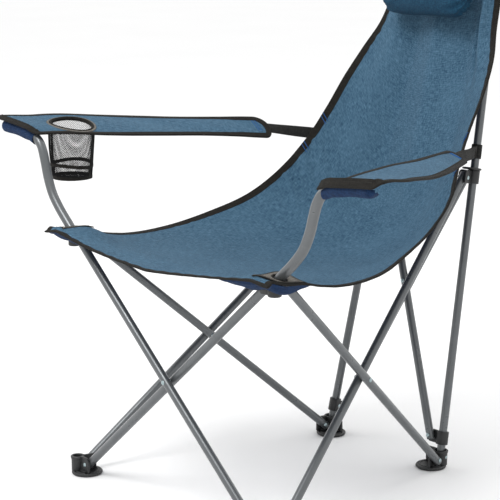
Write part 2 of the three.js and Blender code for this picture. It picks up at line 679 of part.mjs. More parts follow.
/** An armrest: the fabric strip and the pocket sewn under its front edge for the tube. */
function armrest(side) {
  const sign = FRAME[side].sign;
  const strip = slab(mirrored(sign, armrestPoint), 4, 10, 4);
  const points = armPoints(side);
  const tip = points[points.length - 1];
  const inner = points[points.length - 3];
  const run = tip.clone().sub(inner).normalize();
  const pocket = rod(inner.clone().addScaledVector(run, -8), tip.clone().addScaledVector(run, 9), 12.5, 14);
  const cutters = [armSweep(side, ARM_R + 1.2, 4)];
  if (side === "right") {
    const centre = new THREE.Vector3(-CUP_CENTRE[0], CUP_CENTRE[1], 0);
    cutters.push(rod(centre.clone().setZ(600), centre.clone().setZ(700), CUP_R + PAD_CLEAR, 28));
  }
  piece(`armrest_${side}`, carve([strip, pocket], cutters), FABRIC);
}

/** The cup holder: a bound ring on the armrest and the hanging pocket below it. */
function cupHolder() {
  const place = (profile, segments) => {
    const geometry = new THREE.LatheGeometry(profile.map(([r, z]) => new THREE.Vector2(r, z)), segments);
    geometry.rotateX(Math.PI / 2);
    return geometry.translate(-CUP_CENTRE[0], CUP_CENTRE[1], CUP_TOP_Z);
  };
  const wall = 2;
  const low = CUP_R - 8;
  piece("cup_pocket", place([
    [0, -CUP_DEPTH], [low, -CUP_DEPTH], [CUP_R, -6], [CUP_R, 9],
    [CUP_R - wall, 9], [CUP_R - wall, -6], [low - wall, wall - CUP_DEPTH], [0, wall - CUP_DEPTH],
  ], 24), MESH);
}

/** The webbing of an armrest: the strap through the sling's edge and the loop round the upright. */
function armWebbing(side) {
  const { loop } = strapEnds(side);
  const s = FRAME[side];
  const reach = s.lean.clone().multiplyScalar(15);
  const loopBody = rod(loop.clone().sub(reach), loop.clone().add(reach), TUBE_R + 3);
  const bore = rod(loop.clone().addScaledVector(reach, -2), loop.clone().addScaledVector(reach, 2), TUBE_R + GAP);
  piece(`arm_strap_${side}`, carve([strapBand(side, 0), loopBody], [bore]), BINDING);
}

/** The headrest pillow across the top of the back. */
function pillow() {
  const outline = new THREE.Shape();
  outline.absellipse(0, 0, 36, 50, 0, 2 * Math.PI, false, 0);
  const options = { depth: 236, bevelEnabled: true, bevelThickness: 9, bevelSize: 9, bevelOffset: -9, bevelSegments: 2 };
  const body = new THREE.ExtrudeGeometry(outline, { ...options, curveSegments: 10 });
  body.translate(0, 0, -118);
  body.rotateZ(-0.2);
  body.applyMatrix4(new THREE.Matrix4().makeBasis(
    new THREE.Vector3(0, 1, 0), new THREE.Vector3(0, 0, 1), new THREE.Vector3(1, 0, 0),
  ));
  body.translate(0, 396, 918);
  piece("pillow", carve([body]), PILLOW);
}

/** The fabric, webbing and padding. */
function softParts() {
  slingFront();
  piece("sling_seat", slingPanel(SEAT_FROM + SEAM, BACK_FROM, 6), FABRIC);
  slingBack();
  pillow();
  cupHolder();
  for (const [side] of SIDES) {
    cornerPatch(side);
    armrest(side);
    armWebbing(side);
  }
}

frame();
softParts();

// The origin is on the floor, under the middle of the whole chair.
const middle = new THREE.Box3().setFromObject(chair).getCenter(new THREE.Vector3());
chair.children.forEach((mesh) => mesh.geometry.translate(0, -middle.y, 0));

export default chair;
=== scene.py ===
"""Folding camp chair: crossed steel tubes, moulded corners, a fabric sling, armrests and a net cup holder."""
import logging
import math
from dataclasses import dataclass
from enum import Enum
from typing import Callable, Sequence

import bmesh
import bpy
import numpy as np
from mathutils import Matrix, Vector


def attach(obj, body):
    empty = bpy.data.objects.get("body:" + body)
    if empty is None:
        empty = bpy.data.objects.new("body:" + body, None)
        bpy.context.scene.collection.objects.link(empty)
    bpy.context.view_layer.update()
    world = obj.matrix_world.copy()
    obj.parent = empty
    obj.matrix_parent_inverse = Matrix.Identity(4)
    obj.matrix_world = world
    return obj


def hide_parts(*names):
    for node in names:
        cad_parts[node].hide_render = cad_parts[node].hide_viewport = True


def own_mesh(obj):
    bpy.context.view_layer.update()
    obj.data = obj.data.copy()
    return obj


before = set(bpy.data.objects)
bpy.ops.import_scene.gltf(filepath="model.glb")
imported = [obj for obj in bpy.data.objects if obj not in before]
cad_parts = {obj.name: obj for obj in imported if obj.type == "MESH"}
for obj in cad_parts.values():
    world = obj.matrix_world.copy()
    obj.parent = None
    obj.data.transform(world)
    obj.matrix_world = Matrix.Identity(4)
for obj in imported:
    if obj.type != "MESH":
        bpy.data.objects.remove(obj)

logging.basicConfig(level=logging.INFO, format="%(message)s")
LOG = logging.getLogger("camp_chair")

MM = 0.001
BACK_SHIFT = -80.804  # the origin lies under the middle of the whole chair
Array = np.ndarray
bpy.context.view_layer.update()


class Side(Enum):
    """The sitter's own left and right; the value is the sign of X."""

    LEFT = 1
    RIGHT = -1

    @property
    def word(self) -> str:
        """The side's name as used in piece names."""
        return self.name.lower()


class Spot(Enum):
    """Where a moulded corner stands."""

    FRONT = "front"
    REAR = "rear"


# --- small vector and mesh tools, in millimetres -------------------------------------------------


def vec(x: float, y: float, z: float) -> Array:
    """A point or direction as an array."""
    return np.array([x, y, z], float)


def unit(v: Array) -> Array:
    """The same direction with length one, row by row."""
    return v / np.maximum(np.linalg.norm(v, axis=-1, keepdims=True), 1e-12)


def place(points: Array) -> Array:
    """Millimetres in the frame's own coordinates to metres about the part's origin."""
    return (np.asarray(points, float) + vec(0, BACK_SHIFT, 0)) * MM


def hermite(a: float, b: float, x: Array) -> Array:
    """A smooth step from 0 at a to 1 at b."""
    t = np.clip((np.asarray(x, float) - a) / (b - a), 0, 1)
    return t * t * (3 - 2 * t)


def circle(count: int) -> Array:
    """The angles of a full turn in even steps."""
    return np.arange(count) * 2 * np.pi / count


class Curve:
    """A centripetal Catmull-Rom curve through points."""

    def __init__(self, points: Sequence[Sequence[float]]) -> None:
        """Keeps the points."""
        self.points = np.array(points, float)

    def at(self, t: Array) -> Array:
        """Points of the curve.

        Args:
            t: shares of the curve from 0 to 1, one for each span alike.
        Returns:
            One row for each share.
        """
        p = self.points
        ext = np.vstack([2 * p[0] - p[1], p, 2 * p[-1] - p[-2]])
        s = np.clip(np.atleast_1d(t), 0, 1) * (len(p) - 1)
        k = np.minimum(s.astype(int), len(p) - 2)
        w = (s - k)[:, None]
        p0, p1, p2, p3 = ext[k], ext[k + 1], ext[k + 2], ext[k + 3]
        d0, d1, d2 = (np.maximum(np.linalg.norm(b - a, axis=1, keepdims=True), 1e-6) ** 0.5
                      for a, b in ((p0, p1), (p1, p2), (p2, p3)))
        m1 = ((p1 - p0) / d0 - (p2 - p0) / (d0 + d1) + (p2 - p1) / d1) * d1
        m2 = ((p2 - p1) / d1 - (p3 - p1) / (d1 + d2) + (p3 - p2) / d2) * d1
        a = 2 * p1 - 2 * p2 + m1 + m2
        b = -3 * p1 + 3 * p2 - 2 * m1 - m2
        return ((a * w + b) * w + m1) * w + p1


def link_mesh(name: str, points: Array, faces: Sequence[Sequence[int]], looks: Sequence[bpy.types.Material],
              slots: Sequence[int] | None = None, uvs: Array | None = None, smooth: float = 40.0) -> bpy.types.Object:
    """Makes a mesh object with its place in its mesh.

    Args:
        name: the piece's name.
        points: vertices in millimetres.
        faces: vertex numbers of each face, anticlockwise from outside.
        looks: the piece's materials.
        slots: a material number for each face.
        uvs: one UV pair for each vertex, in metres of cloth.
        smooth: edges flatter than this many degrees are shaded round.
    Returns:
        The new object.
    """
    mesh = bpy.data.meshes.new(name)
    mesh.from_pydata(place(points).tolist(), [], [list(map(int, f)) for f in faces])
    for look in looks:
        mesh.materials.append(look)
    if slots is not None:
        mesh.polygons.foreach_set("material_index", np.asarray(slots, np.int32))
    if uvs is not None:
        layer = mesh.uv_layers.new(name="cloth")
        loops = np.zeros(len(mesh.loops), np.int32)
        mesh.loops.foreach_get("vertex_index", loops)
        layer.data.foreach_set("uv", np.asarray(uvs, np.float32)[loops].ravel())
    mesh.update()
    obj = bpy.data.objects.new(name, mesh)
    bpy.context.scene.collection.objects.link(obj)
    shade(obj, smooth)
    return obj


def shade(obj: bpy.types.Object, degrees: float) -> None:
    """Shades a piece round, apart from edges sharper than the given angle."""
    mesh = obj.data
    mesh.polygons.foreach_set("use_smooth", np.ones(len(mesh.polygons), bool))
    bm = bmesh.new()
    bm.from_mesh(mesh)
    limit = math.radians(degrees)
    for edge in bm.edges:
        edge.smooth = len(edge.link_faces) != 2 or edge.calc_face_angle(0.0) < limit
    bm.to_mesh(mesh)
    bm.free()


def bake(obj: bpy.types.Object) -> bpy.types.Object:
    """Applies every modifier and keeps the result as the piece's plain mesh."""
    depsgraph = bpy.context.evaluated_depsgraph_get()
    mesh = bpy.data.meshes.new_from_object(obj.evaluated_get(depsgraph))
    old = obj.data
    obj.modifiers.clear()
    obj.data = mesh
    mesh.name = obj.name
    bpy.data.meshes.remove(old)
    return obj


def bevelled(obj: bpy.types.Object, width: float, segments: int = 2) -> bpy.types.Object:
    """Rounds the sharp edges of a moulded piece."""
    rounding = obj.modifiers.new("edges", "BEVEL")
    rounding.width, rounding.segments = width * MM, segments
    rounding.limit_method, rounding.angle_limit = "ANGLE", math.radians(35)
    rounding.use_clamp_overlap = True
    bake(obj)
    shade(obj, 32)
    return obj


class Shells:
    """Collects closed shells that make up one piece."""

    def __init__(self) -> None:
        """Starts empty."""
        self.points: list[Array] = []
        self.faces: list[list[int]] = []
        self.slots: list[int] = []
        self.uvs: list[Array] = []
        self.count = 0

    def add(self, points: Array, faces: Sequence[Sequence[int]], slot: int = 0, uvs: Array | None = None) -> None:
        """Adds one shell.

        Args:
            points: vertices in millimetres.
            faces: vertex numbers within this shell.
            slot: its material number.
            uvs: its UV pairs, or none.
        """
        self.points.append(np.asarray(points, float))
        self.faces += [[i + self.count for i in f] for f in faces]
        self.slots += [slot] * len(faces)
        self.uvs.append(np.zeros((len(points), 2)) if uvs is None else np.asarray(uvs, float))
        self.count += len(points)

    def run(self, path: Array, outward: Array, profile: Array, closed: bool, slot: int = 0) -> None:
        """Adds a profile carried along a path, as sweep describes."""
        points, faces, uvs = sweep(path, outward, profile, closed)
        self.add(points, faces, slot, uvs)

    def build(self, name: str, looks: Sequence[bpy.types.Material], smooth: float = 40.0) -> bpy.types.Object:
        """Makes the piece."""
        return link_mesh(name, np.vstack(self.points), self.faces, looks, self.slots, np.vstack(self.uvs), smooth)


def ring_faces(rows: int, around: int, first_cap: bool = True, last_cap: bool = True) -> list[list[int]]:
    """Faces of a stack of closed rings, with flat caps where asked."""
    faces = [[j * around + i, j * around + (i + 1) % around, (j + 1) * around + (i + 1) % around, (j + 1) * around + i]
             for j in range(rows - 1) for i in range(around)]
    if first_cap:
        faces.append(list(range(around))[::-1])
    if last_cap:
        faces.append([(rows - 1) * around + i for i in range(around)])
    return faces


def lathe(profile: Sequence[tuple[float, float]], around: int, matrix: Array) -> tuple[Array, list[list[int]]]:
    """Turns a profile that starts and ends on its axis.

    Args:
        profile: radius and height pairs from the bottom of the axis to its top.
        around: vertices in each ring.
        matrix: 4 by 4 placement.
    Returns:
        Vertices and faces.
    """
    inner = [(r, z) for r, z in profile if r > 1e-6]
    angle = circle(around)
    rings = np.array([[(r * math.cos(a), r * math.sin(a), z) for a in angle] for r, z in inner]).reshape(-1, 3)
    points = np.vstack([rings, [[0, 0, profile[0][1]], [0, 0, profile[-1][1]]]])
    faces = ring_faces(len(inner), around, False, False)
    low, high, last = len(rings), len(rings) + 1, (len(inner) - 1) * around
    faces += [[(i + 1) % around, i, low] for i in range(around)]
    faces += [[last + i, last + (i + 1) % around, high] for i in range(around)]
    return points @ matrix[:3, :3].T + matrix[:3, 3], faces


def basis(origin: Array, x: Array, z: Array) -> Array:
    """A placement with local Z along z and local X as near to x as it can be."""
    z = unit(z)
    x = unit(x - z * (x @ z))
    m = np.eye(4)
    m[:3, 0], m[:3, 1], m[:3, 2], m[:3, 3] = x, np.cross(z, x), z, origin
    return m


def sweep(path: Array, outward: Array, profile: Array, closed: bool) -> tuple[Array, list[list[int]], Array]:
    """Carries a closed profile along a path.

    Args:
        path: points of the path.
        outward: at each point, the direction of the profile's first axis.
        profile: pairs along outward and along the path's normal.
        closed: whether the path joins up.
    Returns:
        Vertices, faces and UV pairs in metres.
    """
    n, k = len(path), profile.shape[-2]
    ahead = np.roll(path, -1, 0) if closed else np.vstack([path[1:], 2 * path[-1] - path[-2]])
    behind = np.roll(path, 1, 0) if closed else np.vstack([2 * path[0] - path[1], path[:-1]])
    tangent = unit(ahead - behind)
    out = unit(outward - tangent * np.sum(outward * tangent, 1, keepdims=True))
    normal = np.cross(tangent, out)
    prof = profile if profile.ndim == 3 else np.repeat(profile[None], n, 0)
    points = path[:, None] + out[:, None] * prof[:, :, :1] + normal[:, None] * prof[:, :, 1:]
    rows = n if closed else n - 1
    faces = [[j * k + i, j * k + (i + 1) % k, ((j + 1) % n) * k + (i + 1) % k, ((j + 1) % n) * k + i]
             for j in range(rows) for i in range(k)]
    if not closed:
        faces += [list(range(k))[::-1], [(n - 1) * k + i for i in range(k)]]
    flip = np.sum(np.cross(np.roll(prof[0], -1, 0), prof[0])) > 0
    faces = [f if flip else f[::-1] for f in faces]
    run = np.concatenate([[0], np.cumsum(np.linalg.norm(np.diff(path, axis=0), axis=1))])
    uvs = np.stack(np.broadcast_arrays(run[:, None], np.linspace(0, 30, k)[None]), -1).reshape(-1, 2) * MM
    return points.reshape(-1, 3), faces, uvs


def stadium(width_in: float, width_out: float, half: float, steps: int = 4) -> Array:
    """A flat tape's section: round at its outer edge, square at its inner one."""
    turn = np.linspace(-np.pi / 2, np.pi / 2, 2 * steps + 1)
    nose = [(width_out - half + half * math.cos(a), half * math.sin(a)) for a in turn]
    return np.array([(-width_in, -half * 0.75), *nose, (-width_in, half * 0.75)])


def oval(a: float, b: float, steps: int) -> Array:
    """An elliptical section."""
    turn = circle(steps)
    return np.stack([a * np.cos(turn), b * np.sin(turn)], 1)


def dress(obj: bpy.types.Object, slot: str, body: str, *nodes: str) -> bpy.types.Object:
    """Ties a finished piece to its body and hides the plain solids that it stands for."""
    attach(obj, body)
    if nodes:
        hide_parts(*nodes)
    LOG.info("%s: %d faces on %s", obj.name, len(obj.data.polygons), body)
    return obj


# --- finishes --------------------------------------------------------------------------------------


class Nodes:
    """A short hand for wiring shader nodes."""

    def __init__(self, tree: bpy.types.NodeTree) -> None:
        """Keeps the tree."""
        self.tree = tree

    def add(self, kind: str, **settings: object) -> bpy.types.Node:
        """Adds a node; settings named like its inputs are set or linked, others are its properties."""
        node = self.tree.nodes.new(kind)
        for key, value in settings.items():
            if hasattr(node, key):
                setattr(node, key, value)
        for key, value in settings.items():
            if hasattr(node, key):
                continue
            name = key.replace("_", " ")
            socket = node.inputs[int(name[1:])] if name[0] == "i" and name[1:].isdigit() else node.inputs[name]
            if isinstance(value, bpy.types.NodeSocket):
                self.tree.links.new(value, socket)
            else:
                socket.default_value = value
        return node

    def math(self, operation: str, a: object, b: object = 0.0) -> bpy.types.NodeSocket:
        """One sum on two values."""
        return self.add("ShaderNodeMath", operation=operation, i0=a, i1=b).outputs[0]

    def mix(self, share: object, a: object, b: object) -> bpy.types.NodeSocket:
        """A mix of two colours."""
        node = self.add("ShaderNodeMix", data_type="RGBA")
        for index, value in ((0, share), (6, a), (7, b)):
            if isinstance(value, bpy.types.NodeSocket):
                self.tree.links.new(value, node.inputs[index])
            else:
                node.inputs[index].default_value = value
        return node.outputs[2]

    def ramp(self, value: bpy.types.NodeSocket, low: float, high: float) -> bpy.types.NodeSocket:
        """Stretches a range of values to 0 to 1."""
        return self.add("ShaderNodeMapRange", Value=value, From_Min=low, From_Max=high).outputs[0]


GroupParts = tuple[bpy.types.NodeTree, Nodes, bpy.types.Node, bpy.types.Node]


def new_group(name: str, inputs: dict[str, float], outputs: dict[str, str]) -> GroupParts:
    """Starts a shader node group with a Vector input, the given values and the given outputs."""
    tree = bpy.data.node_groups.new(name, "ShaderNodeTree")
    tree.interface.new_socket("Vector", in_out="INPUT", socket_type="NodeSocketVector")
    for key, value in inputs.items():
        tree.interface.new_socket(key, in_out="INPUT", socket_type="NodeSocketFloat").default_value = value
    for key, kind in outputs.items():
        tree.interface.new_socket(key, in_out="OUTPUT", socket_type=kind)
    kit = Nodes(tree)
    return tree, kit, tree.nodes.new("NodeGroupInput"), tree.nodes.new("NodeGroupOutput")


def weave_group() -> bpy.types.NodeTree:
    """Plain weave of two yarns: its thread relief, its melange flecks and its soft shade."""
    tree, kit, source, sink = new_group(
        "plain_weave", {"Thread": 0.0011, "Fleck": 0.006, "Shade": 0.09},
        {"Height": "NodeSocketFloat", "Flecks": "NodeSocketFloat", "Shading": "NodeSocketFloat"})
    split = kit.add("ShaderNodeSeparateXYZ", Vector=source.outputs["Vector"])
    per = kit.math("DIVIDE", 2 * math.pi, source.outputs["Thread"])
    across = kit.math("MULTIPLY", split.outputs["X"], per)
    along = kit.math("MULTIPLY", split.outputs["Y"], per)
    warp = kit.math("MULTIPLY", kit.math("SINE", across), kit.math("SINE", kit.math("MULTIPLY", along, 0.5)))
    weft = kit.math("MULTIPLY", kit.math("SINE", along), kit.math("COSINE", kit.math("MULTIPLY", across, 0.5)))
    relief = kit.math("ADD", kit.math("ABSOLUTE", warp), kit.math("ABSOLUTE", weft))
    flecks = []
    for stretch in ((0.35, 2.6, 1.0), (2.6, 0.35, 1.0)):
        turned = kit.add("ShaderNodeVectorMath", operation="MULTIPLY", i0=source.outputs["Vector"], i1=stretch)
        size = kit.math("DIVIDE", 1.0, source.outputs["Fleck"])
        noise = kit.add("ShaderNodeTexNoise", Vector=turned.outputs[0], Scale=size, Detail=3.0, Roughness=0.65)
        flecks.append(kit.ramp(noise.outputs[0], 0.43, 0.6))
    both = kit.math("MULTIPLY", kit.math("ADD", flecks[0], flecks[1]), 0.5)
    soft = kit.add("ShaderNodeTexNoise", Vector=source.outputs["Vector"],
                   Scale=kit.math("DIVIDE", 1.0, source.outputs["Shade"]), Detail=2.0, Roughness=0.5)
    tree.links.new(relief, sink.inputs["Height"])
    tree.links.new(both, sink.inputs["Flecks"])
    tree.links.new(kit.ramp(soft.outputs[0], 0.3, 0.7), sink.inputs["Shading"])
    return tree


def grain_group() -> bpy.types.NodeTree:
    """Fine surface grain with scattered scuffs, for paint, moulded plastic and zinc."""
    tree, kit, source, sink = new_group(
        "fine_grain", {"Grain": 0.0006, "Scuff": 0.03},
        {"Height": "NodeSocketFloat", "Scuffs": "NodeSocketFloat", "Cloud": "NodeSocketFloat"})
    for key, socket, low, high in (("Height", "Grain", 0.3, 0.7), ("Cloud", "Scuff", 0.3, 0.7)):
        noise = kit.add("ShaderNodeTexNoise", Vector=source.outputs["Vector"],
                        Scale=kit.math("DIVIDE", 1.0, source.outputs[socket]), Detail=3.0, Roughness=0.6)
        tree.links.new(kit.ramp(noise.outputs[0], low, high), sink.inputs[key])
    fine = kit.add("ShaderNodeTexNoise", Vector=source.outputs["Vector"],
                   Scale=kit.math("DIVIDE", 6.0, source.outputs["Scuff"]), Detail=5.0, Roughness=0.7)
    tree.links.new(kit.ramp(fine.outputs[0], 0.6, 0.74), sink.inputs["Scuffs"])
    return tree


def colour(code: str) -> tuple[float, float, float, float]:
    """A hexadecimal sRGB colour as linear values."""
    parts = [int(code[i:i + 2], 16) / 255 for i in (0, 2, 4)]
    return (*(c / 12.92 if c <= 0.04045 else ((c + 0.055) / 1.055) ** 2.4 for c in parts), 1.0)


@dataclass(frozen=True)
class Cloth:
    """A woven cloth of dark and light yarn, patterned on the piece's own UV map in metres."""

    name: str
    base: str
    light: str
    dark: str
    thread: float = 0.0011
    fleck: float = 0.006
    shade: float = 0.09
    depth: float = 0.0003
    rough: float = 0.95
    sheen: float = 0.03

    def make(self, weave: bpy.types.NodeTree) -> bpy.types.Material:
        """Builds the material on the shared weave group."""
        look = bpy.data.materials.new(self.name)
        look.use_nodes = True
        kit = Nodes(look.node_tree)
        shader = look.node_tree.nodes["Principled BSDF"]
        uv = kit.add("ShaderNodeUVMap", uv_map="cloth")
        group = kit.add("ShaderNodeGroup", node_tree=weave, Vector=uv.outputs[0], Thread=self.thread,
                        Fleck=self.fleck, Shade=self.shade)
        flecked = kit.mix(group.outputs["Flecks"], colour(self.dark), colour(self.light))
        body = kit.mix(0.8, colour(self.base), flecked)
        shaded = kit.mix(kit.math("MULTIPLY", group.outputs["Shading"], 0.22), body, colour(self.light))
        crossing = kit.mix(kit.math("MULTIPLY", group.outputs["Height"], 0.22), shaded, colour(self.dark))
        bump = kit.add("ShaderNodeBump", Height=group.outputs["Height"], Distance=self.depth, Strength=0.7)
        rough = kit.add("ShaderNodeMapRange", Value=group.outputs["Flecks"],
                        To_Min=self.rough - 0.08, To_Max=self.rough)
        look.node_tree.links.new(crossing, shader.inputs["Base Color"])
        look.node_tree.links.new(rough.outputs[0], shader.inputs["Roughness"])
        look.node_tree.links.new(bump.outputs[0], shader.inputs["Normal"])
        shader.inputs["Sheen Weight"].default_value = self.sheen
        shader.inputs["Sheen Roughness"].default_value = 0.5
        shader.inputs["Specular IOR Level"].default_value = 0.12
        return look


@dataclass(frozen=True)
class Hard:
    """Paint, moulded plastic or zinc with fine grain, a cloudy tone and scuffs."""

    name: str
    base: str
    cloud: str
    scuff: str
    rough: float
    metal: float
    grain: float = 0.0006
    depth: float = 0.00003
    coat: float = 0.0

    def make(self, grain: bpy.types.NodeTree) -> bpy.types.Material:
        """Builds the material on the shared grain group."""
        look = bpy.data.materials.new(self.name)
        look.use_nodes = True
        kit = Nodes(look.node_tree)
        shader = look.node_tree.nodes["Principled BSDF"]
        where = kit.add("ShaderNodeTexCoord")
        group = kit.add("ShaderNodeGroup", node_tree=grain, Vector=where.outputs["Object"], Grain=self.grain)
        tone = kit.mix(kit.math("MULTIPLY", group.outputs["Cloud"], 0.6), colour(self.base), colour(self.cloud))
        worn = kit.mix(kit.math("MULTIPLY", group.outputs["Scuffs"], 0.35), tone, colour(self.scuff))
        rough = kit.add("ShaderNodeMapRange", Value=group.outputs["Cloud"],
                        To_Min=self.rough - 0.05, To_Max=self.rough + 0.07)
        bump = kit.add("ShaderNodeBump", Height=group.outputs["Height"], Distance=self.depth, Strength=0.6)
        look.node_tree.links.new(worn, shader.inputs["Base Color"])
        look.node_tree.links.new(rough.outputs[0], shader.inputs["Roughness"])
        look.node_tree.links.new(bump.outputs[0], shader.inputs["Normal"])
        shader.inputs["Metallic"].default_value = self.metal
        shader.inputs["Coat Weight"].default_value = self.coat
        shader.inputs["Coat Roughness"].default_value = 0.35
        return look


class Finishes:
    """Every material of the chair, made once."""

    def __init__(self) -> None:
        """Builds the shared groups and the materials."""
        weave, grain = weave_group(), grain_group()
        self.seat = Cloth("melange_blue", "3a5d74", "6488a0", "1c3a52", fleck=0.0042).make(weave)
        self.pillow = Cloth("pillow_blue", "1b4059", "2c5a75", "102b40", fleck=0.0042).make(weave)
        self.under = Cloth("navy_lining", "182c4d", "243f64", "10203a").make(weave)
        self.tape = Cloth("edge_tape", "1c1b19", "2e2c28", "121110", thread=0.0014, fleck=0.003,
                          depth=0.0002).make(weave)
        self.webbing = Cloth("webbing_black", "1f1f1e", "363634", "131313", thread=0.0022, fleck=0.004,
                             depth=0.0005).make(weave)
        self.patch = Cloth("patch_taupe", "6f6c66", "8f8b84", "504d49", thread=0.0016, depth=0.0004).make(weave)
        self.net = Cloth("net_black", "18181a", "2c2c2e", "0f0f10", thread=0.0008, fleck=0.002).make(weave)
        self.thread_blue = Cloth("thread_blue", "2c5c9c", "3f73b4", "1f4780", thread=0.0005, fleck=0.002).make(weave)
        self.thread_black = Cloth("thread_black", "2a2927", "45433f", "1b1a19", thread=0.0005, fleck=0.002).make(weave)
        self.paint = Hard("grey_powder_coat", "5f6264", "545759", "7b7e7f", 0.31, 0.55, coat=0.3).make(grain)
        self.plastic = Hard("black_moulding", "1c1d1e", "252627", "3c3d3e", 0.5, 0.0, grain=0.0009,
                            depth=0.00006).make(grain)
        self.zinc = Hard("zinc_rivet", "a9b8ba", "8f9fa3", "d4dcdc", 0.36, 1.0).make(grain)


# --- the frame's places ----------------------------------------------------------------------------

TUBE_R, TUBE_WALL, ARM_R, GAP = 8.0, 1.2, 9.0, 0.4
FOOT_HALF_SPACING, SIDE_ANGLE = 286.0, math.radians(13.3)
PIVOT_INSET, REAR_INSET, FOOT_PIVOT_Z, HUB_Z = 25.0, 22.5, 22.0, 466.0
LONG_BRACE, SLEEVE_UP, UPRIGHT_TOP_Z, LAP, REAR_LAP = 837.0, 36.0, 974.0, 9.0, 7.0
TUBE_OUT, TUBE_IN = 5.8, 10.8
SPAN = 2 * FOOT_HALF_SPACING
BRACE_RUN, BRACE_RISE = SPAN - 2 * PIVOT_INSET, HUB_Z - FOOT_PIVOT_Z
SHORT_BRACE = math.hypot(BRACE_RUN, BRACE_RISE)
FRONT_Y = -SPAN * math.cos(SIDE_ANGLE) / 2
REAR_Y, REAR_X = -FRONT_Y, FOOT_HALF_SPACING - SPAN * math.sin(SIDE_ANGLE)
LONG_RUN, LONG_RISE = (LONG_BRACE * d / SHORT_BRACE for d in (BRACE_RUN, BRACE_RISE))
UP, FRONT_IN = vec(0, 0, 1), vec(0, 1, 0)
CHEEK = 4.4  # thickness of the plates that the braces are riveted to
OUTER_CHEEK = (TUBE_R - TUBE_OUT + GAP, TUBE_R - TUBE_OUT + GAP + CHEEK)
INNER_CHEEK = (TUBE_IN - TUBE_R - GAP - CHEEK, TUBE_IN - TUBE_R - GAP)
ARM_POINTS = [(283, 470), (305, 490), (333, 515), (356, 541), (371, 571), (380, 600),
              (388, 622), (401, 640), (424, 650), (460, 654.5), (506, 659)]


class Corner:
    """The axes, directions and rivet places of one side of the frame."""

    def __init__(self, side: Side) -> None:
        """Works out the side's places from the frame's sizes."""
        s = side.value
        self.side, self.sign = side, s
        self.back = vec(-s * math.sin(SIDE_ANGLE), math.cos(SIDE_ANGLE), 0)
        self.inward = vec(-s * math.cos(SIDE_ANGLE), -math.sin(SIDE_ANGLE), 0)
        self.in_x = vec(-s, 0, 0)
        self.front, self.rear = vec(s * FOOT_HALF_SPACING, FRONT_Y, 0), vec(s * REAR_X, REAR_Y, 0)
        self.slider = self.rear + self.back * (LONG_RUN - BRACE_RUN)
        self.slider[2] = FOOT_PIVOT_Z + LONG_RISE
        self.foot = self.rear + UP * FOOT_PIVOT_Z
        self.lean = unit(self.slider - self.foot)
        self.sleeve = self.foot + self.lean * SLEEVE_UP
        long_shift, short_shift = (TUBE_IN, -TUBE_OUT) if s > 0 else (-TUBE_OUT, TUBE_IN)
        self.long_foot = self.eye(self.front, self.back, FOOT_PIVOT_Z, long_shift)
        self.long_top = self.eye(self.slider, -self.back, self.slider[2], long_shift)
        self.short_hub = self.eye(self.front, self.back, HUB_Z, short_shift)
        self.short_foot = self.eye(self.rear, -self.back, FOOT_PIVOT_Z, short_shift)

    def eye(self, point: Array, direction: Array, height: float, shift: float) -> Array:
        """Where a brace of this side is riveted."""
        spot = point + direction * PIVOT_INSET + self.inward * shift
        spot[2] = height
        return spot

    def on_upright(self, height: float) -> Array:
        """The upright's axis at a height."""
        return self.foot + self.lean * (height - FOOT_PIVOT_Z) / self.lean[2]

    def arm_line(self) -> Array:
        """The points that the armrest tube bends through."""
        return np.array([vec(self.sign * x, FRONT_Y, z) for x, z in ARM_POINTS])


LEFT, RIGHT = Corner(Side.LEFT), Corner(Side.RIGHT)
CORNERS = {Side.LEFT: LEFT, Side.RIGHT: RIGHT}
REAR_UP = unit(LEFT.lean + RIGHT.lean)
REAR_IN = np.cross(vec(1, 0, 0), REAR_UP)


def front_eyes(a: Corner, b: Corner, shift: float) -> tuple[Array, Array]:
    """Rivet places of a front brace, at one side's hub and the other side's foot."""
    hub = a.front + a.in_x * PIVOT_INSET + FRONT_IN * shift + UP * HUB_Z
    return hub, b.front + b.in_x * PIVOT_INSET + FRONT_IN * shift + UP * FOOT_PIVOT_Z


def rear_eyes(a: Corner, b: Corner, shift: float) -> tuple[Array, Array]:
    """Rivet places of a rear brace, at one side's slider and the other side's sleeve."""
    return a.slider + a.in_x * REAR_INSET + REAR_IN * shift, b.sleeve + b.in_x * REAR_INSET + REAR_IN * shift


FRONT_EYES = {Side.LEFT: front_eyes(LEFT, RIGHT, TUBE_IN), Side.RIGHT: front_eyes(RIGHT, LEFT, -TUBE_OUT)}
REAR_EYES = {Side.LEFT: rear_eyes(LEFT, RIGHT, -TUBE_OUT), Side.RIGHT: rear_eyes(RIGHT, LEFT, TUBE_IN)}


def crossing(a: Array, b: Array, c: Array, d: Array) -> Array:
    """The middle of the shortest line between two rods."""
    def nearest(p: Array, q: Array, r: Array, s: Array) -> Array:
        """The point of rod p-q that is nearest to rod r-s."""
        u, v, w = q - p, s - r, p - r
        uv = u @ v
        return p + u * (uv * (v @ w) - (v @ v) * (u @ w)) / ((u @ u) * (v @ v) - uv * uv)
    return (nearest(a, b, c, d) + nearest(c, d, a, b)) / 2


# --- steel tubes -----------------------------------------------------------------------------------


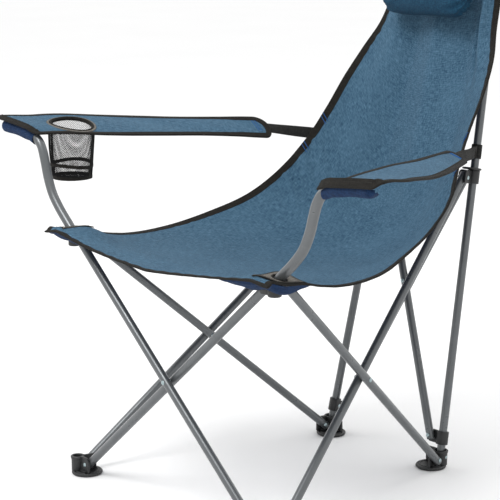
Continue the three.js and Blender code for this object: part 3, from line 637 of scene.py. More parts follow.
@dataclass
class TubeWork:
    """Bent and straight tubes with open, slightly rolled ends."""

    look: bpy.types.Material
    around: int = 40
    wall: float = TUBE_WALL
    depth: float = 18.0

    def tube(self, name: str, path: Array, radius: float, body: str, node: str, dents: Sequence[Array] = ()) -> None:
        """Makes one tube.

        Args:
            name: the piece's name.
            path: the points of its axis.
            radius: its outer radius.
            body: what it moves with.
            node: the plain solid it stands for.
            dents: places where a rivet has pulled the wall in a little.
        """
        start, end = unit(path[0] - path[1]), unit(path[-1] - path[-2])
        inner = radius - self.wall
        ends = [(path[0] - start * self.depth, inner), (path[0] - start * 0.6, inner), (path[0], inner + 0.35),
                (path[0], radius - 0.35), (path[0] - start * 0.5, radius)]
        tail = [(path[-1] - end * 0.5, radius), (path[-1], radius - 0.35), (path[-1], inner + 0.35),
                (path[-1] - end * 0.6, inner), (path[-1] - end * self.depth, inner)]
        body_rows = [(p, radius) for p in path[1:-1]]
        rows = ends + body_rows + tail
        tangents = [start * -1] * 5 + list(unit(path[2:] - path[:-2])) + [end] * 5
        side = unit(np.cross(tangents[0], vec(0.2, 0.9, 0.1) if abs(tangents[0][1]) < 0.8 else vec(1, 0, 0)))
        turn = circle(self.around)
        rings = []
        for (centre, r), tangent in zip(rows, tangents):
            side = unit(side - tangent * (side @ tangent))
            up = np.cross(tangent, side)
            ring = centre + r * (np.cos(turn)[:, None] * side + np.sin(turn)[:, None] * up)
            for dent in dents:
                near = np.exp(-(np.linalg.norm(ring - dent, axis=1) / 7.0) ** 2)
                ring = ring + (centre - ring) * (0.1 * near)[:, None]
            rings.append(ring)
        points = np.vstack(rings)
        faces = ring_faces(len(rows), self.around)
        obj = link_mesh(name, points, faces, [self.look], smooth=50)
        dress(obj, "tubes", body, node)

    def straight(self, name: str, a: Array, b: Array, laps: tuple[float, float], body: str, across: Array) -> None:
        """Makes a straight tube between two rivets that laps past both."""
        axis = unit(b - a)
        low, high = a - axis * laps[0], b + axis * laps[1]
        near = [0, 1.2, laps[0] - 6, laps[0] - 3, laps[0], laps[0] + 3, laps[0] + 6]
        length = float(np.linalg.norm(high - low))
        stations = sorted({*(v for v in near if v >= 0), *np.linspace(laps[0] + 12, length - laps[1] - 12, 8),
                           *(length - v for v in near if v >= 0)})
        path = np.array([low + axis * v for v in stations])
        dents = [p + across * s * TUBE_R for p in (a, b) for s in (-1, 1)]
        self.tube(f"{name}_steel", path, TUBE_R, body, name, dents)


class SteelFrame:
    """All fourteen steel tubes."""

    def __init__(self, looks: Finishes) -> None:
        """Keeps the finish."""
        self.work = TubeWork(looks.paint)

    def build(self) -> None:
        """Makes the braces, uprights and armrest tubes."""
        for side, c in CORNERS.items():
            w = side.word
            self.work.straight(f"brace_short_{w}", c.short_foot, c.short_hub, (LAP, LAP), f"brace_short_{w}", c.inward)
            self.work.straight(f"brace_long_{w}", c.long_foot, c.long_top, (LAP, LAP), f"brace_long_{w}", c.inward)
            self.work.straight(f"brace_front_{w}", *FRONT_EYES[side], (LAP, LAP), f"brace_front_{w}", FRONT_IN)
            self.work.straight(f"brace_rear_{w}", *REAR_EYES[side], (REAR_LAP, REAR_LAP), f"brace_rear_{w}", REAR_IN)
            self.work.straight(f"upright_{w}", c.foot, c.on_upright(UPRIGHT_TOP_Z), (LAP, 0), f"upright_{w}", c.inward)
            line = Curve(c.arm_line()).at(np.linspace(0, 1, 90))
            dimple = Curve(c.arm_line()).at(np.array([0.62]))[0] + vec(c.sign * 7, -5, 0)
            self.work.tube(f"arm_tube_{w}_steel", line, ARM_R, f"hub_{w}", f"arm_tube_{w}", [dimple])


# --- rivets ----------------------------------------------------------------------------------------


def rivet_tree(look: bpy.types.Material) -> bpy.types.NodeTree:
    """Geometry nodes that set a domed rivet on each point, along its own direction and grip."""
    tree = bpy.data.node_groups.new("rivet_set", "GeometryNodeTree")
    tree.interface.new_socket("Geometry", in_out="INPUT", socket_type="NodeSocketGeometry")
    for key, value in (("Head Radius", 0.0053), ("Shank Radius", 0.0029)):
        tree.interface.new_socket(key, in_out="INPUT", socket_type="NodeSocketFloat").default_value = value
    tree.interface.new_socket("Geometry", in_out="OUTPUT", socket_type="NodeSocketGeometry")
    kit = Nodes(tree)
    source, sink = tree.nodes.new("NodeGroupInput"), tree.nodes.new("NodeGroupOutput")
    axis = kit.add("GeometryNodeInputNamedAttribute", data_type="FLOAT_VECTOR", Name="axis")
    grip = kit.add("GeometryNodeInputNamedAttribute", data_type="FLOAT", Name="grip")
    turn = kit.add("FunctionNodeAlignRotationToVector", axis="Z", Vector=axis.outputs[0])
    shank = kit.add("GeometryNodeMeshCylinder", Vertices=20, Radius=source.outputs["Shank Radius"], Depth=1.0)
    stretch = kit.add("ShaderNodeCombineXYZ", X=1.0, Y=1.0, Z=grip.outputs[0])
    joined = kit.add("GeometryNodeJoinGeometry")
    pins = kit.add("GeometryNodeInstanceOnPoints", Points=source.outputs["Geometry"], Instance=shank.outputs["Mesh"],
                   Rotation=turn.outputs[0], Scale=stretch.outputs[0])
    tree.links.new(pins.outputs[0], joined.inputs[0])
    dome = kit.add("GeometryNodeMeshUVSphere", Segments=24, Rings=12, Radius=source.outputs["Head Radius"])
    flat = kit.add("GeometryNodeTransform", Geometry=dome.outputs["Mesh"], Scale=(1.0, 1.0, 0.46))
    for end in (-0.5, 0.5):
        reach = kit.math("MULTIPLY", grip.outputs[0], end)
        step = kit.add("ShaderNodeVectorMath", operation="SCALE", i0=axis.outputs[0])
        tree.links.new(reach, step.inputs["Scale"])
        moved = kit.add("GeometryNodeSetPosition", Geometry=source.outputs["Geometry"], Offset=step.outputs[0])
        heads = kit.add("GeometryNodeInstanceOnPoints", Points=moved.outputs[0], Instance=flat.outputs[0],
                        Rotation=turn.outputs[0])
        tree.links.new(heads.outputs[0], joined.inputs[0])
    real = kit.add("GeometryNodeRealizeInstances", Geometry=joined.outputs[0])
    set_look = kit.add("GeometryNodeSetMaterial", Geometry=real.outputs[0], Material=look)
    smooth = kit.add("GeometryNodeSetShadeSmooth", Geometry=set_look.outputs[0])
    tree.links.new(smooth.outputs[0], sink.inputs[0])
    return tree


def set_input(modifier: bpy.types.NodesModifier, name: str, value: object) -> None:
    """Sets a geometry nodes input by its identifier."""
    for item in modifier.node_group.interface.items_tree:
        if item.name == name and item.in_out == "INPUT":
            modifier[item.identifier] = value


@dataclass
class Rivets:
    """The rivets and screws, one piece for each body."""

    looks: Finishes
    head: float = 4.2
    shank: float = 2.9

    def places(self) -> dict[str, list[tuple[str, Array, Array, float]]]:
        """For each body, its rivets as node, middle, direction and grip."""
        over = 2 * TUBE_R + GAP + CHEEK
        socket_grip, socket_shift = 22.5, 1.5
        mid_in = (INNER_CHEEK[0] + TUBE_IN + TUBE_R) / 2 - TUBE_IN
        mid_out = (-TUBE_OUT - TUBE_R + OUTER_CHEEK[1]) / 2 + TUBE_OUT
        cross = TUBE_IN + TUBE_OUT + 2 * TUBE_R
        found: dict[str, list[tuple[str, Array, Array, float]]] = {}

        def put(body: str, node: str, spot: Array, along: Array, grip: float) -> None:
            """Notes one rivet."""
            found.setdefault(body, []).append((node, spot, along, grip))

        for side, c in CORNERS.items():
            w, inner = side.word, mid_in if c.sign < 0 else mid_out
            outer = mid_in if c.sign > 0 else mid_out
            put(f"hub_{w}", f"rivet_side_hub_{w}", c.short_hub + c.inward * inner, c.inward, over)
            put(f"foot_rear_{w}", f"rivet_side_rear_foot_{w}", c.short_foot + c.inward * inner, c.inward, over)
            put(f"foot_front_{w}", f"rivet_side_front_foot_{w}", c.long_foot + c.inward * outer, c.inward, over)
            put(f"slider_{w}", f"rivet_side_slider_{w}", c.long_top + c.inward * outer, c.inward, over)
            put(f"brace_long_{w}", f"rivet_side_cross_{w}",
                crossing(c.short_foot, c.short_hub, c.long_foot, c.long_top), c.inward, cross)
            put(f"foot_rear_{w}", f"rivet_upright_{w}", c.foot - c.inward * socket_shift, c.inward, socket_grip)
            arm = c.arm_line()
            screw = arm[0] + unit(arm[1] - arm[0]) * 5 - FRONT_IN * socket_shift
            put(f"hub_{w}", f"screw_arm_{w}", screw, FRONT_IN, socket_grip)
        for end, eyes, along in (("front", FRONT_EYES, FRONT_IN), ("rear", REAR_EYES, REAR_IN)):
            put(f"brace_{end}_left", f"rivet_{end}_cross", crossing(*eyes[Side.LEFT], *eyes[Side.RIGHT]), along, cross)
        for side, far, front, rear in ((Side.LEFT, "right", mid_in, mid_out), (Side.RIGHT, "left", mid_out, mid_in)):
            hub, foot = (eye + FRONT_IN * front for eye in FRONT_EYES[side])
            slider, sleeve = (eye + REAR_IN * rear for eye in REAR_EYES[side])
            put(f"hub_{side.word}", f"rivet_front_hub_{side.word}", hub, FRONT_IN, over)
            put(f"foot_front_{far}", f"rivet_front_foot_{far}", foot, FRONT_IN, over)
            if side is Side.LEFT:
                put("slider_left", "rivet_rear_slider_left", slider, REAR_IN, over)
            put(f"sleeve_{far}", f"rivet_rear_sleeve_{far}", sleeve, REAR_IN, over)
        put("brace_rear_right", "rivet_rear_slider_right", REAR_EYES[Side.RIGHT][0], REAR_IN, 2 * TUBE_R)
        return found

    def build(self) -> None:
        """Makes each body's rivets with one geometry nodes tree."""
        tree = rivet_tree(self.looks.zinc)
        for body, rivets in self.places().items():
            obj = link_mesh(f"rivets_{body}", np.array([r[1] for r in rivets]), [], [self.looks.zinc])
            mesh = obj.data
            axis = mesh.attributes.new("axis", "FLOAT_VECTOR", "POINT")
            axis.data.foreach_set("vector", np.array([r[2] for r in rivets], np.float32).ravel())
            grip = mesh.attributes.new("grip", "FLOAT", "POINT")
            grip.data.foreach_set("value", np.array([r[3] * MM for r in rivets], np.float32))
            setter = obj.modifiers.new("rivets", "NODES")
            setter.node_group = tree
            set_input(setter, "Head Radius", self.head * MM)
            set_input(setter, "Shank Radius", self.shank * MM)
            bake(obj)
            shade(obj, 50)
            dress(obj, "rivets", body, *[r[0] for r in rivets])


# --- moulded corners -------------------------------------------------------------------------------


@dataclass
class Mouldings:
    """Feet, hubs, sliders, sleeves and caps of black plastic."""

    looks: Finishes
    edge: float = 0.9

    def cheek(self, shells: Shells, origin: Array, direction: Array, up: Array, inward: Array,
              band: tuple[float, float], low: float, high: float, reach: float, corner: float = 8.0) -> None:
        """Adds one rounded plate that a brace is riveted to.

        Args:
            shells: the piece it belongs to.
            origin: a point on the corner's axis.
            direction: which way the plate points.
            up: its height direction.
            inward: the side that its band is measured along.
            band: nearest and farthest distance of the plate along inward.
            low: its lower edge.
            high: its upper edge.
            reach: its length.
            corner: radius of its free upper corner.
        """
        turn = np.linspace(0, np.pi / 2, 7)
        small = 4.0
        outline = [(0, low), (reach - small, low)]
        outline += [(reach - small + small * math.sin(a), low + small - small * math.cos(a)) for a in turn]
        outline += [(reach - corner + corner * math.cos(a), high - corner + corner * math.sin(a)) for a in turn]
        outline += [(0, high)]
        flat = np.array([origin + direction * x + up * z for x, z in outline])
        count = len(outline)
        points = np.vstack([flat + inward * band[0], flat + inward * band[1]])
        order = list(range(count))
        faces = [order, [count + i for i in order][::-1]]
        faces += [[i, count + i, count + (i + 1) % count, (i + 1) % count] for i in order]
        if np.cross(direction, up) @ inward > 0:
            faces = [f[::-1] for f in faces]
        shells.add(points, faces)

    def finish(self, shells: Shells, name: str) -> None:
        """Rounds a moulding's edges and ties it to the body and the solid of its name."""
        dress(bevelled(shells.build(f"{name}_body", [self.looks.plastic]), self.edge), "mouldings", name, name)

    def tray(self, shells: Shells, centre: Array) -> None:
        """Adds a foot's disc: a stepped rim with ribs and a raised inner ring."""
        around, rows = 144, []
        profile = [(0, 0), (26.5, 0), (28.6, 0.6), (29.8, 2.0), (30, 3.4), (29.6, 5.2), (28.2, 6.4), (26.2, 6.6),
                   (25.4, 5.4), (23.6, 5.2), (23.0, 7.0), (21.2, 7.4), (20.2, 6.2), (0, 6.2)]
        turn = circle(around)
        notch = 0.5 + 0.5 * np.sign(np.sin(turn * 36))
        for r, z in profile[1:-1]:
            cut = 0.55 * notch if r > 27.5 and 1.5 < z < 6 else 0 * notch
            rows.append(np.stack([centre[0] + (r - cut) * np.cos(turn), centre[1] + (r - cut) * np.sin(turn),
                                  np.full(around, float(z))], 1))
        shells.add(np.vstack(rows), ring_faces(len(rows), around))

    def cup(self, shells: Shells, origin: Array, z0: float, z1: float, inner: float, outer: float) -> None:
        """Adds a round socket with a thick rim."""
        rim = outer + 1.2
        profile = [(0, z0), (outer - 0.4, z0), (outer, z1 - 6), (rim, z1 - 4.4), (rim + 0.2, z1 - 1.2), (rim - 1, z1),
                   (inner + 0.8, z1), (inner, z1 - 1.2), (inner, z0 + 7), (0, z0 + 7)]
        matrix = basis(origin * vec(1, 1, 0), vec(1, 0, 0), UP)
        shells.add(*lathe(profile, 40, matrix))

    def foot(self, c: Corner, spot: Spot) -> None:
        """Builds one foot."""
        is_front = spot is Spot.FRONT
        origin = c.front if is_front else c.rear
        depth = c.back if is_front else -c.back
        across = FRONT_IN if is_front else -FRONT_IN
        side_inner = (c.sign > 0) == is_front
        cross_inner = (c.sign < 0) == is_front
        shells = Shells()
        self.tray(shells, origin + c.in_x * 12.8 + across * 12.8)
        wide = (9.2, 12.6) if is_front else (11.6, 14.2)
        self.cup(shells, origin, 5.0, 35.0, *wide)
        reach = PIVOT_INSET + 11 - wide[0]
        for direction, inward, inner in ((c.in_x, across, cross_inner), (depth, c.inward, side_inner)):
            band = INNER_CHEEK if inner else OUTER_CHEEK
            start = origin + direction * (wide[0] + 1.5)
            self.cheek(shells, start, direction, UP, inward, band, 4.5, 36, reach - 1.5)
            middle = (band[0] + band[1]) / 2
            self.cheek(shells, start, direction, UP, inward, (middle - 4.2, middle + 4.2), 4.5, 10, reach - 4)
        self.finish(shells, f"foot_{spot.value}_{c.side.word}")

    def hub(self, c: Corner) -> None:
        """Builds the front hub with its angled armrest socket."""
        origin, shells = c.front + UP * HUB_Z, Shells()
        for direction, inward, inner in ((c.in_x, FRONT_IN, c.sign > 0), (c.back, c.inward, c.sign < 0)):
            band = INNER_CHEEK if inner else OUTER_CHEEK
            self.cheek(shells, origin + direction * 4, direction, UP, inward, band, -15, 12, PIVOT_INSET + 7)
        post = [(0, -15), (10.6, -15), (12, -13.6), (12, 4.6), (10.6, 6), (0, 6)]
        shells.add(*lathe(post, 36, basis(origin, vec(1, 0, 0), UP)))
        arm = c.arm_line()
        out = unit(arm[1] - arm[0])
        sock = [(0, -7), (11, -7), (12, -6), (12, 13), (11.4, 14), (9.6, 14), (9.4, 12.4), (9.4, 0), (0, 0)]
        shells.add(*lathe(sock, 36, basis(arm[0], FRONT_IN, out)))
        self.finish(shells, f"hub_{c.side.word}")

    def ring(self, shells: Shells, centre: Array, axis: Array, rows: Sequence[tuple[float, float]]) -> None:
        """Adds a collar: a closed section turned round an axis without touching it."""
        around = 40
        turn = circle(around)
        m = basis(centre, vec(1, 0, 0), axis)
        points = np.array([[(r * math.cos(a), r * math.sin(a), z) for r, z in rows] for a in turn]).reshape(-1, 3)
        k = len(rows)
        faces = [[j * k + i, (j + 1) % around * k + i, (j + 1) % around * k + (i + 1) % k, j * k + (i + 1) % k]
                 for j in range(around) for i in range(k)]
        shells.add(points @ m[:3, :3].T + m[:3, 3], faces)

    def slider(self, c: Corner) -> None:
        """Builds the upper collar with its flange and two cheeks."""
        tilt, forward, shells = c.lean, -c.back, Shells()
        level = unit(forward - tilt * (forward @ tilt))
        bore = TUBE_R + GAP
        self.ring(shells, c.slider, tilt, [(bore, -15), (11, -15), (11.8, -14), (11.8, 14), (bore, 14)])
        shift, count = (level + c.in_x) * 4, 48
        turn = circle(count)[:, None]
        x_axis, y_axis = basis(c.slider, level, tilt)[:3, :2].T

        def hoop(radius: float, height: float, off: Array) -> Array:
            """One edge of the flange."""
            across = radius * np.cos(turn) * x_axis
            return off + c.slider + across + radius * np.sin(turn) * y_axis + tilt * height

        rows = [hoop(r, z, shift) for r, z in ((18.2, 12), (19, 12.8), (19, 15.2), (18.2, 16))]
        rows += [hoop(bore, z, vec(0, 0, 0)) for z in (16, 12)]
        last = 5 * count
        faces = ring_faces(6, count, False, False)
        faces += [[last + i, last + (i + 1) % count, (i + 1) % count, i] for i in range(count)]
        shells.add(np.vstack(rows), faces)
        band = INNER_CHEEK if c.sign > 0 else OUTER_CHEEK
        self.cheek(shells, c.slider + level * 10, level, tilt, c.inward, band, -16, 10, PIVOT_INSET + 1)
        band = INNER_CHEEK if c.sign < 0 else OUTER_CHEEK
        self.cheek(shells, c.slider + c.in_x * 10, c.in_x, REAR_UP, REAR_IN, band, -14, 10, REAR_INSET + 1)
        self.finish(shells, f"slider_{c.side.word}")

    def sleeve(self, c: Corner) -> None:
        """Builds the lower collar with its one cheek."""
        shells, bore = Shells(), TUBE_R + GAP
        self.ring(shells, c.sleeve, c.lean, [(bore, -13), (11.2, -13), (11.8, -12), (11.8, 12), (11.2, 13), (bore, 13)])
        band = INNER_CHEEK if c.sign > 0 else OUTER_CHEEK
        self.cheek(shells, c.sleeve + c.in_x * 10, c.in_x, REAR_UP, REAR_IN, band, -13, 12, REAR_INSET + 1)
        self.finish(shells, f"sleeve_{c.side.word}")

    def cap(self, c: Corner) -> None:
        """Builds the plug in the top of an upright."""
        shells, fit = Shells(), TUBE_R - TUBE_WALL - GAP
        profile = [(0, -14), (fit - 0.6, -14), (fit, -13), (fit, GAP), (TUBE_R, GAP), (TUBE_R, 2), (7.2, 3.6),
                   (5, 4.3), (0, 4.5)]
        shells.add(*lathe(profile, 32, basis(c.on_upright(UPRIGHT_TOP_Z), c.inward, c.lean)))
        obj = shells.build(f"upright_cap_{c.side.word}_body", [self.looks.plastic], 45)
        dress(obj, "mouldings", f"upright_{c.side.word}", f"upright_cap_{c.side.word}")

    def build(self) -> None:
        """Makes every moulding."""
        for c in CORNERS.values():
            self.foot(c, Spot.FRONT)
            self.foot(c, Spot.REAR)
            self.hub(c)
            self.slider(c)
            self.sleeve(c)
            self.cap(c)


# --- cloth tools -----------------------------------------------------------------------------------


def grid_slab(point: Callable[[Array, Array], Array], columns: int, rows: int, thickness: float,
              keep: Callable[[Array, Array], Array] | None = None,
              mirrored: bool = False) -> tuple[Array, list[list[int]], list[int], Array]:
    """A closed sheet of cloth over a grid.

    Args:
        point: gives points for arrays of shares across and along.
        columns: cells across.
        rows: cells along.
        thickness: of the cloth.
        keep: tells which cells stay, from their middles, or none for all.
        mirrored: whether the grid's own upper side is the cloth's lower one.
    Returns:
        Vertices, faces, a slot for each face (0 above, 1 below) and UV pairs in metres.
    """
    a, b = np.meshgrid(np.linspace(0, 1, columns + 1), np.linspace(0, 1, rows + 1))
    a, b, step = a.ravel(), b.ravel(), 1e-3
    mid = point(a, b)
    across = point(np.minimum(a + step, 1), b) - point(np.maximum(a - step, 0), b)
    along = point(a, np.minimum(b + step, 1)) - point(a, np.maximum(b - step, 0))
    normal = unit(np.cross(across, along))
    points = np.vstack([mid + normal * thickness / 2, mid - normal * thickness / 2])
    net = mid.reshape(rows + 1, columns + 1, 3)
    run_u = np.cumsum(np.pad(np.linalg.norm(np.diff(net, axis=1), axis=2), ((0, 0), (1, 0))), 1)
    run_u -= run_u[:, columns // 2:columns // 2 + 1]
    run_v = np.cumsum(np.pad(np.linalg.norm(np.diff(net, axis=0), axis=2), ((1, 0), (0, 0))), 0)
    run_v[:] = run_v.mean(1, keepdims=True)
    uv = np.stack([run_u.ravel(), run_v.ravel()], 1) * MM
    width, sheet = columns + 1, len(mid)
    cell = np.ones((rows, columns), bool)
    if keep is not None:
        ca, cb = np.meshgrid((np.arange(columns) + 0.5) / columns, (np.arange(rows) + 0.5) / rows)
        cell = keep(ca.ravel(), cb.ravel()).reshape(rows, columns)
    faces, slots = [], []
    for j in range(rows):
        for i in range(columns):
            if not cell[j, i]:
                continue
            k = j * width + i
            faces.append([k, k + 1, k + 1 + width, k + width])
            faces.append([k + sheet, k + width + sheet, k + 1 + width + sheet, k + 1 + sheet])
            slots += [1, 0] if mirrored else [0, 1]
            for test, p, q in ((j == 0 or not cell[j - 1, i], k, k + 1),
                               (j == rows - 1 or not cell[j + 1, i], k + 1 + width, k + width),
                               (i == 0 or not cell[j, i - 1], k + width, k),
                               (i == columns - 1 or not cell[j, i + 1], k + 1, k + 1 + width)):
                if test:
                    faces.append([q, p, p + sheet, q + sheet])
                    slots.append(0)
    return points, faces, slots, np.vstack([uv, uv])


def double_faces(rows: int, width: int) -> list[list[int]]:
    """Faces of a closed strip of cloth whose two sides are grids, one listed after the other."""
    k, faces = rows * width, []
    for j in range(rows - 1):
        for i in range(width - 1):
            a = j * width + i
            faces += [[a, a + 1, a + 1 + width, a + width], [k + a, k + a + width, k + a + 1 + width, k + a + 1]]
    rim = [(i, i + 1) for i in range(width - 1)]
    rim += [((j + 1) * width - 1, (j + 2) * width - 1) for j in range(rows - 1)]
    rim += [(k - width + i + 1, k - width + i) for i in range(width - 2, -1, -1)]
    rim += [((j + 1) * width, j * width) for j in range(rows - 2, -1, -1)]
    return faces + [[b, a, k + a, k + b] for a, b in rim]


def cut_size(point: Callable[[Array, Array], Array], across: tuple[float, float],
             along: tuple[float, float]) -> tuple[float, float, float]:
    """Measures a sheet's flat cut on the sheet itself.

    Args:
        point: gives points in millimetres for arrays of shares across and along.
        across: the shares it runs over in width.
        along: the shares it runs over in length.
    Returns:
        Greatest width, greatest length and area, in metres.
    """
    n = 61
    a, b = np.meshgrid(np.linspace(*across, n), np.linspace(*along, n))
    net = point(a.ravel(), b.ravel()).reshape(n, n, 3) * MM
    width = float(np.linalg.norm(np.diff(net, axis=1), axis=2).sum(1).max())
    length = float(np.linalg.norm(np.diff(net, axis=0), axis=2).sum(0).max())
    d1, d2 = net[1:, 1:] - net[:-1, :-1], net[1:, :-1] - net[:-1, 1:]
    return width, length, float(np.linalg.norm(np.cross(d1, d2), axis=2).sum() / 2)


def seam_lines(path: Array, outward: Array, tangent: Array, inset: float, lift: float) -> list[Array]:
    """The two rows of stitches of an edge tape, one on each face of it."""
    out = unit(outward - tangent * np.sum(outward * tangent, 1, keepdims=True))
    normal = np.cross(tangent, out)
    return [path - out * inset + normal * s * lift for s in (1, -1)]


def stitch_tree() -> bpy.types.NodeTree:
    """Geometry nodes that lay a row of stitches along a line."""
    tree = bpy.data.node_groups.new("stitch_row", "GeometryNodeTree")
    tree.interface.new_socket("Geometry", in_out="INPUT", socket_type="NodeSocketGeometry")
    for key, value in (("Pitch", 0.0045), ("Length", 0.0032), ("Thickness", 0.0006)):
        tree.interface.new_socket(key, in_out="INPUT", socket_type="NodeSocketFloat").default_value = value
    tree.interface.new_socket("Thread", in_out="INPUT", socket_type="NodeSocketMaterial")
    tree.interface.new_socket("Geometry", in_out="OUTPUT", socket_type="NodeSocketGeometry")
    kit = Nodes(tree)
    source, sink = tree.nodes.new("NodeGroupInput"), tree.nodes.new("NodeGroupOutput")
    line = kit.add("GeometryNodeMeshToCurve", Mesh=source.outputs["Geometry"])
    dots = kit.add("GeometryNodeResampleCurve", mode="LENGTH", Curve=line.outputs[0], Length=source.outputs["Pitch"])
    tangent = kit.add("GeometryNodeInputTangent")
    turn = kit.add("FunctionNodeAlignRotationToVector", axis="Z", Vector=tangent.outputs[0])
    bead = kit.add("GeometryNodeMeshCylinder", Vertices=6, Radius=source.outputs["Thickness"],
                   Depth=source.outputs["Length"])
    rows = kit.add("GeometryNodeInstanceOnPoints", Points=dots.outputs[0], Instance=bead.outputs["Mesh"],
                   Rotation=turn.outputs[0])
    real = kit.add("GeometryNodeRealizeInstances", Geometry=rows.outputs[0])
    set_look = kit.add("GeometryNodeSetMaterial", Geometry=real.outputs[0], Material=source.outputs["Thread"])
    tree.links.new(set_look.outputs[0], sink.inputs[0])
    return tree


class Sewing:
    """Rows of stitches, made with one geometry nodes tree."""

    def __init__(self, looks: Finishes) -> None:
        """Builds the tree."""
        self.looks, self.tree = looks, stitch_tree()

    def rows(self, name: str, lines: Sequence[Array], thread: bpy.types.Material, slot: str, body: str,
             pitch: float = 4.5, length: float = 3.2, thick: float = 0.45) -> bpy.types.Object:
        """Sews along each line.

        Args:
            name: the piece's name.
            lines: arrays of points.
            thread: its material.
            slot: the name of its material slot; not used.
            body: what it moves with.
            pitch: distance from stitch to stitch.
            length: of a stitch.
            thick: its radius.
        Returns:
            The plain mesh of all the stitches.
        """
        points = np.vstack(lines)
        mesh = bpy.data.meshes.new(name)
        edges, base = [], 0
        for line in lines:
            edges += [(base + i, base + i + 1) for i in range(len(line) - 1)]
            base += len(line)
        mesh.from_pydata(place(points).tolist(), edges, [])
        obj = bpy.data.objects.new(name, mesh)
        bpy.context.scene.collection.objects.link(obj)
        setter = obj.modifiers.new("stitches", "NODES")
        setter.node_group = self.tree
        for key, value in (("Pitch", pitch * MM), ("Length", length * MM), ("Thickness", thick * MM),
                           ("Thread", thread)):
            set_input(setter, key, value)
        bake(obj)
        if not obj.data.uv_layers:
            obj.data.uv_layers.new(name="cloth")
        return dress(obj, slot, body)


# --- the sling -------------------------------------------------------------------------------------


@dataclass(frozen=True)
class Fold:
    """One long soft ridge or hollow in the back."""

    height: float
    at: float
    slant: float
    width: float

    def rise(self, u: Array, lean: Array) -> Array:
        """How far it stands off the cloth."""
        return self.height * np.exp(-((u - self.at + lean * self.slant) / self.width) ** 2)


